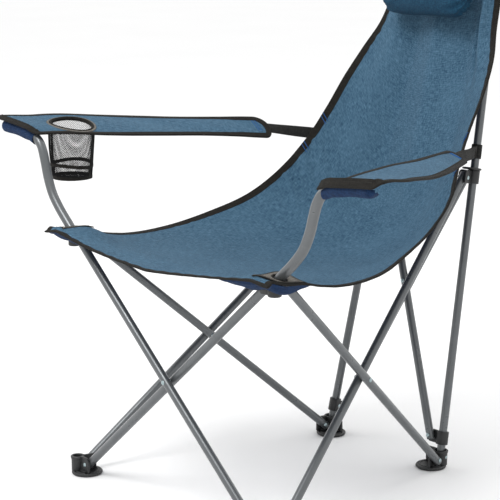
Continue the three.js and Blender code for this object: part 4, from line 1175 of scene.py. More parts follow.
class Sling:
    """The hung cloth: front, seat and back panels, edge tape, pockets, patches and lining."""

    edge = Curve([(318, -324, 496), (320, -282, 481), (313, -236, 470), (309, -140, 453), (300, -40, 457),
                  (278, 50, 478), (256, 136, 508), (238, 205, 553), (213, 256, 613), (200, 304, 676),
                  (194, 352, 739), (180, 396, 799), (160, 428, 852), (151, 449, 905), (147, 465, 978)])
    middle = Curve([(0, -330, 460), (0, -285, 453), (0, -225, 445), (0, -130, 434), (0, -20, 423), (0, 70, 415),
                    (0, 150, 419), (0, 220, 443), (0, 275, 484), (0, 318, 545), (0, 352, 620), (0, 383, 700),
                    (0, 412, 790), (0, 442, 885), (0, 467, 978)])
    seat_from, back_from = 0.165, 0.4
    cloth, tape_in, tape_half = 1.8, 13.5, 1.9
    back_folds = (Fold(13.0, 0.12, 0.5, 0.16), Fold(-11.0, -0.33, 0.35, 0.13), Fold(8.0, -0.68, 0.2, 0.13),
                  Fold(-9.0, 0.58, 0.1, 0.12))
    strap_level = 0.535  # where the armrest straps pull on the edges, as a share of the length
    hole_x, hole_r = 296.0, 12.5

    def __init__(self, looks: Finishes, sewing: Sewing) -> None:
        """Keeps the finishes and the sewing."""
        self.looks, self.sewing = looks, sewing

    def base(self, u: Array, v: Array) -> Array:
        """The sling's smooth shape: u from -1 at the right edge to 1, v from the front to the top."""
        edge, middle = self.edge.at(v), self.middle.at(v)
        power = 1.2 + 0.9 * np.minimum(v / 0.2, 1)
        hang = np.abs(u) ** power
        p = np.stack([edge[:, 0] * u, middle[:, 1] + (edge[:, 1] - middle[:, 1]) * hang,
                      middle[:, 2] + (edge[:, 2] - middle[:, 2]) * hang], 1)
        p[:, 2] += 17 * np.exp(-(np.hypot(np.abs(p[:, 0]) - 266, p[:, 1] + 256) / 44) ** 2)
        p[:, 2] -= (5.5 + 6 * np.abs(u) ** 6) * (1 - hermite(0.0, 0.024, v))
        p[:, 2] -= 6.0 * hermite(0.86, 1.0, np.abs(u)) * (1 - hermite(0.1, 0.2, v))
        p[:, 0] -= (9.0 + 5.0 * np.maximum(u, 0)) * hermite(0.5, 0.9, v)
        return p

    def folds(self, u: Array, v: Array) -> Array:
        """How far the cloth's soft folds stand off that shape, in millimetres."""
        back = hermite(0.5, 0.72, v)
        lean = (v - 0.7) * 0.9
        f = back * sum(fold.rise(u, lean) for fold in self.back_folds)
        gather = hermite(0.74, 0.93, v)
        f += gather * 17.0 * np.exp(-((u - 0.81) / 0.05) ** 2) - gather * 20.0 * np.exp(-((u - 0.705) / 0.034) ** 2)
        f += hermite(0.8, 0.96, v) * 5.0 * np.exp(-((u + 0.86) / 0.05) ** 2)
        front = (1 - hermite(0.03, 0.3, v)) * hermite(-1.0, -0.72, u) * (1 - hermite(-0.3, 0.35, u))
        f += front * 3.0 * np.sin((v * 34 - (u + 1) * 4.2))
        for sign in (-1, 1):
            dv, du = v - self.strap_level, 1 - sign * u
            pull = np.exp(-(dv / 0.055) ** 2) * np.exp(-((du - 0.17) / 0.15) ** 2)
            f += pull * 3.4 * np.sin(dv * 150 + du * 16 + sign)
        f += 0.9 * np.sin(u * 5 + v * 9) * np.sin(v * 13 + 1.3)
        return f * (1 - 0.75 * hermite(0.93, 1.0, np.abs(u)))

    def point(self, u: Array, v: Array) -> Array:
        """A point of the finished sling."""
        step = 2e-3
        normal = unit(np.cross(self.base(u + step, v) - self.base(u - step, v),
                               self.base(u, np.minimum(v + step, 1)) - self.base(u, np.maximum(v - step, 0))))
        return self.base(u, v) + normal * self.folds(u, v)[:, None]

    def panel(self, name: str, v0: float, v1: float, rows: int, body: str, *nodes: str) -> bpy.types.Object:
        """Builds one stretch of the sling's cloth."""
        def spot(a: Array, b: Array) -> Array:
            """The sling's point at shares of this panel."""
            return self.point(2 * a - 1, v0 + (v1 - v0) * b)
        keep = (lambda a, b: self.clear_of_sockets(spot(a, b))) if v0 == 0 else None
        points, faces, slots, uvs = grid_slab(spot, 110, rows, self.cloth, keep)
        uvs = uvs + np.array([0, v0 * 1.55])
        obj = link_mesh(name, points, faces, [self.looks.seat, self.looks.under], slots, uvs, 60)
        return dress(obj, "seat_fabric", body, *nodes)

    def clear_of_sockets(self, p: Array) -> Array:
        """Where the cloth isn't cut away round the armrest tubes."""
        return np.hypot(np.abs(p[:, 0]) - self.hole_x, p[:, 1] - FRONT_Y) > self.hole_r

    def tape(self, name: str, v0: float, v1: float, body: str, end: float | None) -> None:
        """Builds the folded edge tape on one panel, and its stitches as a piece of their own.

        Args:
            name: the piece's name.
            v0: where the panel starts.
            v1: where it ends.
            body: what it moves with.
            end: 0 if the tape also runs across the sling's front, 1 if across its top, or none.
        """
        shells, lines = Shells(), []
        n = max(int((v1 - v0) * 260), 12)
        v = np.linspace(v0, v1, n)
        if end is None:
            rings = [np.stack([np.full(n, float(s)), v], 1) for s in (1, -1)]
        else:
            steps, order = (60, 1) if end else (120, -1)
            level = np.stack([np.linspace(1, -1, steps), np.full(steps, float(end))], 1)[1:-1]
            rings = [np.vstack([np.stack([np.ones(n), v[::order]], 1), level,
                                np.stack([-np.ones(n), v[::-order]], 1)])]
        edge, step = 0.9999, 0.012
        for ring in rings:
            u, v = ring.T
            p = self.point(u, v)
            u_in = np.where(np.abs(u) > edge, u * (1 - step), u)
            v_in = np.where(v < 1 - edge, step * 0.6, np.where(v > edge, 1 - step * 0.6, v))
            out = p - self.point(u_in, v_in)
            wave = np.sin(np.arange(len(ring)) * 0.9) * 0.25
            profile = np.repeat(stadium(self.tape_in, 1.4, self.tape_half)[None], len(ring), 0)
            profile[:, :, 1] += wave[:, None] * (profile[:, :, 0] < 0)
            shells.run(p, out, profile, False)
            lines += seam_lines(p, out, unit(np.gradient(p, axis=0)), self.tape_in - 2.5, self.tape_half * 0.82)
        dress(shells.build(name, [self.looks.tape], 50), "webbing", body)
        self.sewing.rows(f"{name}_stitches", lines, self.looks.thread_black, "webbing", body)

    def bar_tacks(self) -> None:
        """Builds the blue bar tacks where the straps pass through the edge tape."""
        lines = []
        for sign in (1.0, -1.0):
            for v in (0.560, 0.567, 0.624, 0.631):
                u = np.linspace(sign * 0.945, sign * 1.0, 12)
                p = self.point(u, np.full(12, v))
                q = self.point(u, np.full(12, v + 0.003))
                normal = unit(np.cross(unit(p[-1] - p[0]) * sign, unit(q[0] - p[0])))
                lines.append(p + normal * 2.6)
        self.sewing.rows("bar_tacks", lines, self.looks.thread_blue, "seat_fabric", "upright_left", 2.2, 2.4, 0.7)

    def pockets(self) -> None:
        """Builds the sleeves of cloth that hold the uprights behind the back."""
        for c in CORNERS.values():
            low, high = c.on_upright(900), c.on_upright(UPRIGHT_TOP_Z + 8)
            count = 26
            path = np.array([low + (high - low) * t for t in np.linspace(0, 1, count)])
            t = np.linspace(0, 1, count)
            size = 11.2 + 1.2 * np.sin(t * 9 + c.sign) * (1 - t) - 3.0 * hermite(0.93, 1, t)
            turn = circle(32)
            section = np.stack([np.cos(turn), np.sin(turn)], 1)
            profile = section[None] * size[:, None, None] * (1 + 0.05 * np.sin(3 * turn)[None, :, None])
            shells = Shells()
            shells.run(path, np.repeat(c.inward[None], count, 0), profile, False)
            rows = 12
            web = self.point(np.full(rows, c.sign * 0.78), np.linspace(0.93, 0.995, rows))
            mid = path[np.linspace(0, count - 1, rows).astype(int)]
            flap = np.stack([web, (web + mid) / 2, mid], 1).reshape(-1, 3)
            thick = np.vstack([flap + vec(0.7, 0, 0), flap - vec(0.7, 0, 0)])
            shells.add(thick, double_faces(rows, 3), 0, np.vstack([flap[:, 1:], flap[:, 1:]]) * MM)
            obj = shells.build(f"upright_pocket_{c.side.word}", [self.looks.seat], 60)
            dress(obj, "seat_fabric", f"upright_{c.side.word}")

    def patch(self, c: Corner) -> None:
        """Builds the bound patch round an armrest tube."""
        s, name, hub = float(c.sign), f"corner_patch_{c.side.word}", f"hub_{c.side.word}"
        lift, hole_x = self.cloth / 2 + 1.4, 297.5

        def spot(a: Array, b: Array) -> Array:
            """A point of the four-sided patch, its corners drawn in to a lozenge."""
            x, y = 2 * a - 1, 2 * b - 1
            u = s * (0.922 + 0.072 * x)
            v = 0.083 + 0.053 * y + 0.012 * x
            p = self.base(u, v)
            q = self.base(u + 1e-3, v) - p
            r = self.base(u, v + 1e-3) - p
            return p + unit(np.cross(q, r)) * (lift + 0.5 * np.exp(-(x * x + y * y) * 2))[:, None]

        def keep(a: Array, b: Array) -> Array:
            """Leaves the hole for the tube."""
            p = spot(a, b)
            return np.hypot(np.abs(p[:, 0]) - hole_x, p[:, 1] - FRONT_Y) > 11.5
        points, faces, _, uvs = grid_slab(spot, 40, 60, 1.6, keep)
        shells = Shells()
        shells.add(points, faces, 0, uvs)
        t = np.linspace(0, 1, 30)[:-1]
        one, nil = np.ones(29), np.zeros(29)
        a, b = np.concatenate([t, one, 1 - t, nil]), np.concatenate([nil, t, one, 1 - t])
        p = spot(a, b)

        def within(share: float) -> Array:
            """The border drawn in towards the patch's middle."""
            return spot(0.5 + (a - 0.5) * share, 0.5 + (b - 0.5) * share)

        shells.run(p, p - within(0.9), stadium(3.6, 0.9, 1.1), True, 1)
        turn = np.linspace(0, 2 * np.pi, 33)[:-1]
        hole = np.stack([s * (hole_x + self.hole_r * np.cos(turn)), FRONT_Y + self.hole_r * np.sin(turn),
                         np.zeros(32)], 1)
        grid_a, grid_b = np.meshgrid(np.linspace(0, 1, 60), np.linspace(0, 1, 60))
        cloud = spot(grid_a.ravel(), grid_b.ravel())
        for row in hole:
            row[2] = cloud[np.argmin(np.hypot(cloud[:, 0] - row[0], cloud[:, 1] - row[1])), 2]
        shells.run(hole, hole - hole.mean(0), oval(2.2, 1.5, 8), True, 1)
        dress(shells.build(f"{name}_cloth", [self.looks.patch, self.looks.tape], 50), "patch_fabric", hub, name)
        self.sewing.rows(f"{name}_stitches", [within(0.8) + UP * 0.9], self.looks.thread_black, "patch_fabric", hub)

    def corner_lining(self, c: Corner) -> None:
        """Builds the navy pocket of cloth that hangs round a hub under the sling's corner."""
        s = float(c.sign)

        def spot(a: Array, b: Array) -> Array:
            """A point of the hanging lining, from the front edge down and back."""
            u = s * (0.60 + 0.395 * a)
            top = self.base(u, 0.008 + 0.15 * b)
            sag = 23 * np.sin(np.pi * b) ** 0.45 * np.sqrt(1 - a ** 10) * hermite(-0.2, 0.5, a)
            top[:, 2] -= 1.7 + sag + 1.5 * np.sin(a * 13 + b * 4)
            return top

        def keep(a: Array, b: Array) -> Array:
            """Leaves room for the hub and its braces."""
            p = spot(a, b)
            return (np.abs(np.abs(p[:, 0]) - 273.5) > 29.5) | (np.abs(p[:, 1] + 266.5) > 28.5)
        points, faces, _, uvs = grid_slab(spot, 34, 34, 1.2, keep)
        obj = link_mesh(f"corner_lining_{c.side.word}", points, faces, [self.looks.under], None, uvs, 60)
        dress(obj, "seat_fabric", f"hub_{c.side.word}")

    def build(self) -> None:
        """Makes the sling's panels, tapes, pockets and patches."""
        panels = (("sling_front", 0.0, self.seat_from, 34, "hub_left", 0.0, LEFT.front),
                  ("sling_seat", self.seat_from, self.back_from, 50, "seat_panel", None, LEFT.front),
                  ("sling_back", self.back_from, 1.0, 150, "upright_left", 1.0, LEFT.on_upright(700)))
        cloths = [self.panel(f"{name}_cloth", v0, v1, rows, body, name) for name, v0, v1, rows, body, _, _ in panels]
        for name, v0, v1, _, body, end, _ in panels:
            self.tape(f"{name}_tape", v0, v1, body, end)
        self.bar_tacks()
        for cloth, (name, v0, v1, _, _, _, anchor) in zip(cloths, panels):
            width, length, area = cut_size(self.point, (-1, 1), (v0, v1))
            area = min(area, width * length)
            LOG.info("%s is cut %.3f by %.3f m, %.3f square metres", cloth.name, width, length, area)
            for part in ("cloth", "tape", "tape_stitches"):
                self.gather(f"{name}_{part}", anchor)
        self.gather("bar_tacks", panels[-1][-1])
        self.pockets()
        for c in CORNERS.values():
            self.patch(c)
            self.corner_lining(c)

    def gather(self, name: str, anchor: Array) -> None:
        """Gives a piece its own copy of its mesh."""
        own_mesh(bpy.data.objects[name])


# --- headrest pillow -------------------------------------------------------------------------------


@dataclass
class Pillow:
    """The stuffed headrest across the top of the back."""

    looks: Finishes
    half: float = 112.0
    deep: float = 33.0
    tall: float = 46.0
    centre: tuple[float, float, float] = (-10.0, 396.0, 918.0)
    lean: float = -0.2
    pressure: float = 4.0
    steps: int = 20
    reach: float = 0.006  # the farthest that filling may move a point, in metres

    def shell(self) -> tuple[Array, list[list[int]]]:
        """The pillow's sewn shape before it is filled."""
        rows, around = 49, 40
        turn = circle(around)
        rings = []
        for x in np.linspace(-1, 1, rows):
            end = (1 - np.abs(x) ** 7) ** 0.5 * 0.96 + 0.04
            flat = np.stack([np.full(around, x * self.half),
                             self.deep * end * np.cos(turn) * (1 + 0.04 * np.sin(3 * turn + 2 * x)),
                             self.tall * end * np.sin(turn) * (1 + 0.03 * np.cos(2 * turn - 3 * x))], 1)
            rings.append(flat)
        points = np.vstack(rings)
        cos, sin = math.cos(self.lean), math.sin(self.lean)
        y = points[:, 1] * cos - points[:, 2] * sin
        z = points[:, 1] * sin + points[:, 2] * cos
        points[:, 1], points[:, 2] = y, z
        return points + np.array(self.centre), ring_faces(rows, around)

    def fill(self, obj: bpy.types.Object) -> None:
        """Puffs the pillow with a short cloth simulation and keeps the result."""
        remesh = obj.modifiers.new("even", "REMESH")
        remesh.mode, remesh.voxel_size = "VOXEL", 5 * MM
        bake(obj)
        before = np.array([v.co for v in obj.data.vertices])
        cloth = obj.modifiers.new("fill", "CLOTH")
        cloth.settings.use_pressure, cloth.settings.uniform_pressure_force = True, self.pressure
        cloth.settings.effector_weights.gravity = 0
        cloth.settings.quality = 6
        scene = bpy.context.scene
        for step in range(1, self.steps + 1):
            scene.frame_set(step)
        bake(obj)
        scene.frame_set(1)
        move = np.array([v.co for v in obj.data.vertices]) - before
        far = np.linalg.norm(move, axis=1, keepdims=True)
        after = before + move * np.minimum(1, self.reach / np.maximum(far, 1e-9))
        obj.data.vertices.foreach_set("co", after.astype(np.float32).ravel())

    def wrinkle(self, obj: bpy.types.Object) -> None:
        """Adds puckers at the end seams and soft dents, then a map for the weave."""
        co = np.array([v.co for v in obj.data.vertices]) / MM - vec(0, BACK_SHIFT, 0) - np.array(self.centre)
        nor = np.array([v.normal for v in obj.data.vertices])
        turn = np.arctan2(co[:, 2] * 0.75, co[:, 1])
        end = hermite(0.55, 0.95, np.abs(co[:, 0]) / self.half)
        lift = end * 2.4 * np.sin(turn * 11 + np.sign(co[:, 0]))
        lift += 0.9 * np.sin(co[:, 0] * 0.045 + turn * 2) * (1 - end)
        lift -= 2.6 * np.exp(-((np.abs(co[:, 0]) - self.half * 0.9) / 4.0) ** 2)
        new = (co + nor * lift[:, None] + np.array(self.centre))
        obj.data.vertices.foreach_set("co", place(new).astype(np.float32).ravel())
        layer = obj.data.uv_layers.new(name="cloth")
        loops = np.zeros(len(obj.data.loops), np.int32)
        obj.data.loops.foreach_get("vertex_index", loops)
        uv = np.stack([co[:, 0], co[:, 2] + np.abs(co[:, 1])], 1) * MM
        layer.data.foreach_set("uv", uv[loops].astype(np.float32).ravel())
        obj.data.update()

    def build(self) -> None:
        """Makes the pillow."""
        points, faces = self.shell()
        obj = link_mesh("headrest_pillow", points, faces, [self.looks.pillow], smooth=180)
        self.fill(obj)
        smooth = obj.modifiers.new("round", "SUBSURF")
        smooth.levels = smooth.render_levels = 1
        bake(obj)
        self.wrinkle(obj)
        obj.data.materials.clear()
        obj.data.materials.append(self.looks.pillow)
        shade(obj, 180)
        dress(obj, "pillow_fabric", "upright_left", "pillow")
        tuple(place(LEFT.on_upright(900)))
        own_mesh(obj)


# --- armrests and cup holder -----------------------------------------------------------------------


class Armrest:
    """One armrest: cloth strip, edge tape, pocket round the tube, webbing strap and loop."""

    inner = Curve([(391, -284, 651), (374, -190, 650), (347, -90, 643), (311, 20, 637), (267, 130, 633),
                   (240, 196, 631)])
    outer = Curve([(533, -284, 669), (512, -190, 664), (461, -90, 657), (402, 20, 650), (332, 130, 643),
                   (284, 199, 637)])
    cup_centre, cup_r, floor_z = (427.0, -182.0), 43.0, 556.0
    sleeve_r, tape_in, round_end = 11.5, 11.0, 0.055
    lip = 0.06  # share of the length that rolls over the tube

    def __init__(self, c: Corner, looks: Finishes, sewing: Sewing) -> None:
        """Keeps the side, the finishes and the sewing."""
        self.c, self.looks, self.sewing = c, looks, sewing
        self.name, self.hub, self.slider = (f"{part}_{c.side.word}" for part in ("armrest", "hub", "slider"))
        self.has_cup = c.side is Side.RIGHT
        self.roll = math.radians(30 if self.has_cup else 68)
        self.rounding = 0.06 if self.has_cup else 0.012

    def tube_z(self, x: Array) -> Array:
        """Height of the armrest tube's axis under the strip."""
        xs, zs = zip(*ARM_POINTS[7:])
        return np.interp(x, [380, *xs, 540], [632, *zs, 661.5])

    def half(self, a: Array, b: Array) -> Array:
        """A point on the left side: a from the inner to the outer edge, b from the front to the back."""
        p = self.inner.at(b) * (1 - a)[:, None] + self.outer.at(b) * a[:, None]
        if not self.has_cup:
            p[:, :2] += np.array([11.0, 6.0]) * (1 - hermite(0.0, 0.3, b))[:, None]
        over = 1 - hermite(0.0, 0.16, b)
        crest = self.tube_z(p[:, 0]) + self.sleeve_r
        p[:, 2] += (np.maximum(crest, p[:, 2]) - p[:, 2]) * over
        if self.has_cup:
            tilt = -14 * hermite(0.0, 0.3, b) - 16 * hermite(0.6, 1.0, b)
        else:
            tilt = 22 * hermite(0.12, 0.5, b)
        p[:, 2] += tilt * (0.5 - a) + 4.5
        crown = np.sin(np.pi * a) * (1 - over)
        p[:, 2] += 2.0 * crown + 1.2 * np.sin(b * 17 + a * 3) * crown
        return p

    def nose(self, a: Array, turn: Array) -> Array:
        """The strip's front, rolled down over the tube by an angle."""
        p = self.half(a, np.zeros_like(a))
        z = self.tube_z(p[:, 0])
        r = np.maximum(p[:, 2] - z, self.sleeve_r)
        return np.stack([p[:, 0], p[:, 1] - r * np.sin(turn), z + r * np.cos(turn)], 1)

    def point(self, a: Array, b: Array) -> Array:
        """A point of the strip; negative b rolls over the tube."""
        a, b = np.atleast_1d(a).astype(float), np.atleast_1d(b).astype(float)
        flat = self.half(a, np.maximum(b, 0))
        turn = np.clip(-b / self.lip, 0, 1) * self.roll * (1 - 0.3 * hermite(0.9, 1.0, a))
        rolled = self.nose(a, turn)
        p = np.where((b < 0)[:, None], rolled, flat)
        p[:, 0] *= self.c.sign
        return p

    def back_end(self, a: Array) -> Array:
        """How far along the strip reaches, rounded off at its rear end."""
        return 1 - self.round_end * (1 - np.sqrt(np.clip(1 - (2 * a - 1) ** 2, 0, 1)))

    def front_end(self, a: Array) -> Array:
        """Where the strip starts, with its corners rounded off."""
        outer = 0.035 * (np.maximum(a - 0.85, 0) / 0.15) ** 2
        return -self.lip + self.rounding * (1 - np.minimum(a / 0.3, 1)) ** 2 + outer

    def cloth(self) -> bpy.types.Object:
        """Builds the strip, with the hole of the cup holder where it has one."""
        def spot(a: Array, b: Array) -> Array:
            """The strip's point at shares of the whole."""
            start = self.front_end(a)
            return self.point(a, start + (self.back_end(a) - start) * b)

        def keep(a: Array, b: Array) -> Array:
            """Leaves the cup holder's hole."""
            p = spot(a, b)
            return np.hypot(np.abs(p[:, 0]) - self.cup_centre[0], p[:, 1] - self.cup_centre[1]) > self.cup_r + 0.5
        points, faces, slots, uvs = grid_slab(spot, 56, 170, 3.0, keep if self.has_cup else None, self.c.sign < 0)
        uvs[:, 1] += 0.31 * self.c.sign
        looks = [self.looks.seat, self.looks.under]
        obj = link_mesh(f"{self.name}_cloth", points, faces, looks, slots, uvs, 60)
        return dress(obj, "seat_fabric", self.hub, self.name)

    def tape(self) -> tuple[bpy.types.Object, bpy.types.Object]:
        """Builds the tape round the strip's whole edge and its stitches."""
        n = 150
        t = np.linspace(0, 1, n)
        front = np.linspace(1, 0, 50)[1:-1]
        end = np.linspace(0, np.pi, 40)
        tail_a = 0.5 - 0.5 * np.cos(end)
        first, last = -self.lip + self.rounding, 1 - self.round_end
        low = -0.025
        ring = np.vstack([np.stack([np.zeros(n), first + (last - first) * t], 1),
                          np.stack([tail_a, self.back_end(tail_a)], 1)[1:-1],
                          np.stack([np.ones(n), (low + (last - low) * t)[::-1]], 1),
                          np.stack([front, self.front_end(front)], 1)])
        p = self.point(ring[:, 0], ring[:, 1])
        inside = self.point(0.5 + (ring[:, 0] - 0.5) * 0.93, 0.45 + (ring[:, 1] - 0.45) * 0.985)
        out = p - inside
        is_front = (ring[:, 1] < -0.035) & (not self.has_cup)
        profile = np.repeat(stadium(self.tape_in, 1.3, 2.3)[None], len(ring), 0)
        profile[:, :, 0] *= np.where(is_front, 1.4, 1.0)[:, None]
        shells = Shells()
        shells.run(p, out, profile, True)
        obj = dress(shells.build(f"{self.name}_tape", [self.looks.tape], 50), "webbing", self.hub)
        tangent = unit(np.roll(p, -1, 0) - np.roll(p, 1, 0))
        lines = seam_lines(p, out, tangent, self.tape_in - 2, 2.0)
        return obj, self.sewing.rows(f"{self.name}_stitches", lines, self.looks.thread_black, "webbing", self.hub)

    def pocket(self) -> bpy.types.Object:
        """Builds the navy sleeve of cloth under the front edge, round the tube."""
        n, width = 40, 22
        x = np.linspace(408, 522, n)
        under, hem = math.radians(180), math.radians(215)
        turn = np.linspace(self.roll - 0.17, under if self.has_cup else hem, width)
        shut = hermite(510, 522, x)
        r = (ARM_R + 1.5 + 0.7 * np.sin(x * 0.09)) * (1 - 0.7 * shut)
        rows = []
        for lift in (0.0, 1.3):
            rr = (r + lift)[:, None]
            y = FRONT_Y - rr * np.sin(turn) + 10 * (1 - shut)[:, None] * hermite(math.radians(160), hem, turn)
            z = self.tube_z(x)[:, None] + rr * np.cos(turn) + 2 * hermite(under, hem, turn)
            rows.append(np.stack([np.broadcast_to(self.c.sign * x[:, None], y.shape), y, z], 2).reshape(-1, 3))
        points, faces = np.vstack(rows), double_faces(n, width)
        if self.c.sign > 0:
            faces = [f[::-1] for f in faces]
        uvs = np.stack([points[:, 0], points[:, 1] + points[:, 2]], 1) * MM
        obj = link_mesh(f"{self.name}_pocket", points, faces, [self.looks.under], None, uvs, 60)
        return dress(obj, "seat_fabric", self.hub)

    def end_stitches(self) -> bpy.types.Object:
        """Builds the blue stitches that hold the webbing to the strip's rear end."""
        lines = []
        for b in (0.926, 0.942):
            a = np.linspace(0.28, 0.74, 16)
            lines.append(self.point(a, np.full(16, b)) + UP * 2.0)
        return self.sewing.rows(f"{self.name}_tacks", lines, self.looks.thread_blue, "seat_fabric", self.hub,
                                2.4, 2.6, 0.75)

    def strap(self) -> None:
        """Builds the webbing from the strip's rear end round the upright."""
        c = self.c
        name = f"arm_strap_{c.side.word}"
        rear, loop = self.point(np.array([0.35, 0.65]), np.array([0.985, 0.985])).mean(0), c.on_upright(612)
        run = unit(loop - rear)
        start = rear - run * 6 - UP * 1.5
        side = unit(np.cross(c.lean, run))
        far = loop - run * (TUBE_R + 2.2)
        t = np.linspace(0, 1, 36)
        straight = np.array([start + (far - start) * share for share in t])
        straight = straight - UP * 2.5 * np.sin(np.pi * t)[:, None]
        tall = unit(UP - run * (UP @ run))
        ends = self.point(np.array([0.2, 0.8]), np.array([0.97, 0.97]))
        flat = np.cross(run, unit(ends[1] - ends[0]))
        flat = flat * np.sign(flat @ side)
        turned = hermite(0.0, 0.6, t)[:, None]
        facing = unit(flat * (1 - turned) + side * turned)
        shells = Shells()
        thick, flat_in, width, round_out = 0.9, 0.54, 10.6, 11.2
        section = np.array([(-thick, -width), (-flat_in, -round_out), (flat_in, -round_out), (thick, -width),
                            (thick, width), (flat_in, round_out), (-flat_in, round_out), (-thick, width)])
        for shift in (1.4, -1.4):
            shells.run(straight + facing * shift * (0.4 + 0.6 * t)[:, None], facing, section, False)
        turn = np.linspace(0, 2 * np.pi, 49)[:-1]
        m = basis(loop, run, c.lean)
        ring = loop + (TUBE_R + 1.6) * (np.cos(turn)[:, None] * m[:3, 0] + np.sin(turn)[:, None] * m[:3, 1])
        wide = np.array([(-0.8, -13.5), (0.0, -14.1), (0.9, -13.5), (1.1, 0), (0.9, 13.5), (0.0, 14.1), (-0.8, 13.5)])
        shells.run(ring, ring - loop, wide, True)
        obj = dress(shells.build(f"{name}_webbing", [self.looks.webbing], 50), "webbing", self.slider, name)
        lines = []
        for along in (16, 22, 28):
            spot = loop - run * (TUBE_R + along)
            for s in (1, -1):
                lines.append(np.array([spot + tall * z + side * s * 2.6 for z in np.linspace(-10, 10, 8)]))
        seam = self.sewing.rows(f"{name}_stitches", lines, self.looks.thread_black, "webbing", self.slider,
                                2.6, 2.4, 0.5)
        for piece in (obj, seam):
            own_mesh(piece)

    def build(self) -> None:
        """Makes the armrest and gives each of its pieces its own copy of its mesh."""
        cloth = self.cloth()
        pieces = [cloth, *self.tape(), self.end_stitches(), self.pocket()]
        width, length, area = cut_size(self.point, (0, 1), (-self.lip, 0.98))
        if self.has_cup:
            area -= math.pi * (self.cup_r * MM) ** 2
        LOG.info("%s is cut %.3f by %.3f m, %.4f square metres", cloth.name, width, length, area)
        self.strap()
        if self.has_cup:
            pieces += self.cup()
        for piece in pieces:
            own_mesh(piece)

    def cup(self) -> list[bpy.types.Object]:
        """Builds the cup holder: bound ring, net pocket and its tapes."""
        cx, cy = -self.cup_centre[0], self.cup_centre[1]
        turn = np.linspace(0, 2 * np.pi, 97)[:-1]

        def rim_z(radius: float) -> Array:
            """Height of the strip round the hole."""
            x = np.abs(cx + radius * np.cos(turn))
            y = cy + radius * np.sin(turn)
            ga, gb = np.meshgrid(np.linspace(0, 1, 40), np.linspace(0, 0.5, 80))
            cloud = self.half(ga.ravel(), gb.ravel())
            near = [np.argmin((cloud[:, 0] - px) ** 2 + (cloud[:, 1] - py) ** 2) for px, py in zip(x, y)]
            z = cloud[near, 2]
            spectrum = np.fft.rfft(z)
            spectrum[3:] = 0
            return np.fft.irfft(spectrum, len(z))

        shells = Shells()
        for radius, section, slot, lift in ((self.cup_r - 0.5, oval(3.2, 4.2, 12), 0, 0.6),
                                            (self.cup_r + 3.8, oval(2.8, 1.9, 12), 1, 1.6)):
            ring = np.stack([cx + radius * np.cos(turn), cy + radius * np.sin(turn), rim_z(radius) + lift], 1)
            shells.run(ring, ring - ring.mean(0), section, True, slot)
        rim = shells.build("cup_ring", [self.looks.tape, self.looks.patch], 60)
        top = rim_z(self.cup_r)
        floor_z = self.floor_z

        def side(angle: Array, drop: Array) -> Array:
            """A point of the net: drop from 0 at the ring to 1 at its floor."""
            start = np.interp(angle % (2 * np.pi), np.append(turn, 2 * np.pi), np.append(top, top[0])) - 2
            radius = self.cup_r + 3.0 - 7.0 * drop + 1.6 * np.sin(np.pi * drop) + 0.8 * np.sin(3 * angle + 4 * drop)
            return np.stack([cx + radius * np.cos(angle), cy + radius * np.sin(angle),
                             start + (floor_z - start) * drop], -1)

        around, rows = 76, 28
        points, faces = [], []
        for j in range(rows * 2 + 1):
            angle = (np.arange(around) + 0.5 * (j % 2)) * 2 * np.pi / around
            points.append(side(angle, np.full(around, j / (rows * 2))))
        for j in range(rows * 2 - 1):
            shift = j % 2
            for i in range(around):
                faces.append([j * around + i, (j + 1) * around + (i + shift) % around, (j + 2) * around + i,
                              (j + 1) * around + (i - 1 + shift) % around])
        base = len(points) * around
        bottom = []
        span, dip, pitch = 38.0, 1.5, 4.0
        cells = np.arange(-9, 10) * pitch
        index = {}
        for iy, y in enumerate(cells):
            for ix, x in enumerate(cells):
                if math.hypot(x, y) < span:
                    index[(ix, iy)] = base + len(bottom)
                    bottom.append((cx + x, cy + y, floor_z - dip * (1 - (math.hypot(x, y) / span) ** 2)))
        for (ix, iy), k in index.items():
            if all(key in index for key in ((ix + 1, iy), (ix + 1, iy + 1), (ix, iy + 1))):
                faces.append([k, index[(ix + 1, iy)], index[(ix + 1, iy + 1)], index[(ix, iy + 1)]])
        net = link_mesh("cup_net", np.vstack([*points, np.array(bottom)]), faces, [self.looks.net], smooth=60)
        wires = net.modifiers.new("threads", "WIREFRAME")
        wires.thickness, wires.use_replace, wires.use_even_offset = 0.95 * MM, True, False
        bake(net)
        if not net.data.uv_layers:
            net.data.uv_layers.new(name="cloth")
        bands = Shells()
        strip = np.array([(-0.8, -3.4), (0.9, -3.4), (1.2, 0), (0.9, 3.4), (-0.8, 3.4)])
        middle = np.array([cx, cy, 0])
        for drop, wave in ((0.985, 0.0), (0.74, 0.018)):
            ring = side(turn, drop + wave * np.sin(turn * 2 + 0.4))
            bands.run(ring, (ring - middle) * vec(1, 1, 0), strip, True)
        for seam_at in (math.radians(26), math.radians(206)):
            run = side(np.full(30, seam_at), np.linspace(0.0, 1.0, 30))
            bands.run(run, np.repeat([[math.cos(seam_at), math.sin(seam_at), 0]], 30, 0), strip * 0.9, False)
        tapes = bands.build("cup_tapes", [self.looks.tape], 60)
        return [dress(rim, "mesh_fabric", self.hub), dress(net, "mesh_fabric", self.hub, "cup_pocket"),
                dress(tapes, "mesh_fabric", self.hub)]


# --- studio ----------------------------------------------------------------------------------------


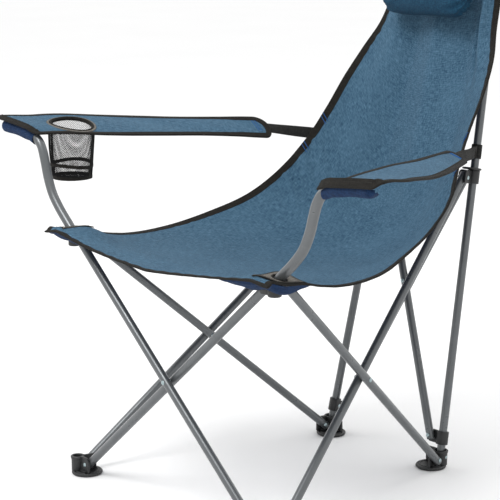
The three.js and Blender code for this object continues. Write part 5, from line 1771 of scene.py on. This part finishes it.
class Studio:
    """Pale floor and backdrop, soft lights and the camera."""

    def floor(self) -> None:
        """Makes the pale floor with a very slight tone."""
        look = bpy.data.materials.new("studio_floor")
        look.use_nodes = True
        kit = Nodes(look.node_tree)
        where = kit.add("ShaderNodeTexCoord")
        noise = kit.add("ShaderNodeTexNoise", Vector=where.outputs["Object"], Scale=1.5, Detail=2.0)
        tone = kit.mix(noise.outputs[0], (0.89, 0.89, 0.89, 1), (0.92, 0.92, 0.92, 1))
        shader = look.node_tree.nodes["Principled BSDF"]
        look.node_tree.links.new(tone, shader.inputs["Base Color"])
        shader.inputs["Roughness"].default_value = 0.9
        mesh = bpy.data.meshes.new("studio_floor")
        size, level = 30.0, -0.0005
        corners = [(x * size, y * size, level) for x, y in ((-1, -1), (1, -1), (1, 1), (-1, 1))]
        mesh.from_pydata(corners, [], [(0, 1, 2, 3)])
        mesh.materials.append(look)
        floor = bpy.data.objects.new("studio_floor", mesh)
        bpy.context.scene.collection.objects.link(floor)

    def light(self, name: str, place_m: tuple[float, float, float], size: float, power: float) -> None:
        """Adds one soft area light aimed at the chair."""
        data = bpy.data.lights.new(name, "AREA")
        data.shape, data.size, data.energy = "DISK", size, power
        lamp = bpy.data.objects.new(name, data)
        lamp.location = place_m
        lamp.rotation_mode = "QUATERNION"
        lamp.rotation_quaternion = (Vector((0, 0, 0.5)) - Vector(place_m)).to_track_quat("-Z", "Y")
        bpy.context.scene.collection.objects.link(lamp)

    def camera(self) -> None:
        """Sets the camera at the chair's left front."""
        data = bpy.data.cameras.new("camera")
        data.lens, data.sensor_width, data.shift_x, data.shift_y = 127.47, 36.0, 0.0, -0.2
        cam = bpy.data.objects.new("camera", data)
        cam.location = (2.43577, -2.29173, 1.12629)
        cam.rotation_mode = "QUATERNION"
        cam.rotation_quaternion = Vector((-0.745035, 0.650792, -0.146265)).to_track_quat("-Z", "Y")
        bpy.context.scene.collection.objects.link(cam)
        bpy.context.scene.camera = cam

    def build(self) -> None:
        """Sets the scene up."""
        scene = bpy.context.scene
        scene.view_settings.view_transform = "Standard"
        world = bpy.data.worlds.new("studio")
        world.use_nodes = True
        world.node_tree.nodes["Background"].inputs[0].default_value = (1.0, 1.0, 1.0, 1)
        world.node_tree.nodes["Background"].inputs[1].default_value = 1.08
        scene.world = world
        self.floor()
        self.light("key", (0.2, -2.6, 3.8), 1.8, 88)
        self.light("fill", (-3.4, -1.2, 2.2), 2.6, 16)
        self.light("rim", (0.6, 3.2, 2.8), 2.0, 22)
        self.camera()


def main() -> None:
    """Builds the chair and its studio."""
    Studio().build()
    looks = Finishes()
    sewing = Sewing(looks)
    SteelFrame(looks).build()
    Rivets(looks).build()
    Mouldings(looks).build()
    Sling(looks, sewing).build()
    Pillow(looks).build()
    for corner in CORNERS.values():
        Armrest(corner, looks, sewing).build()


if __name__ == "__main__":
    main()
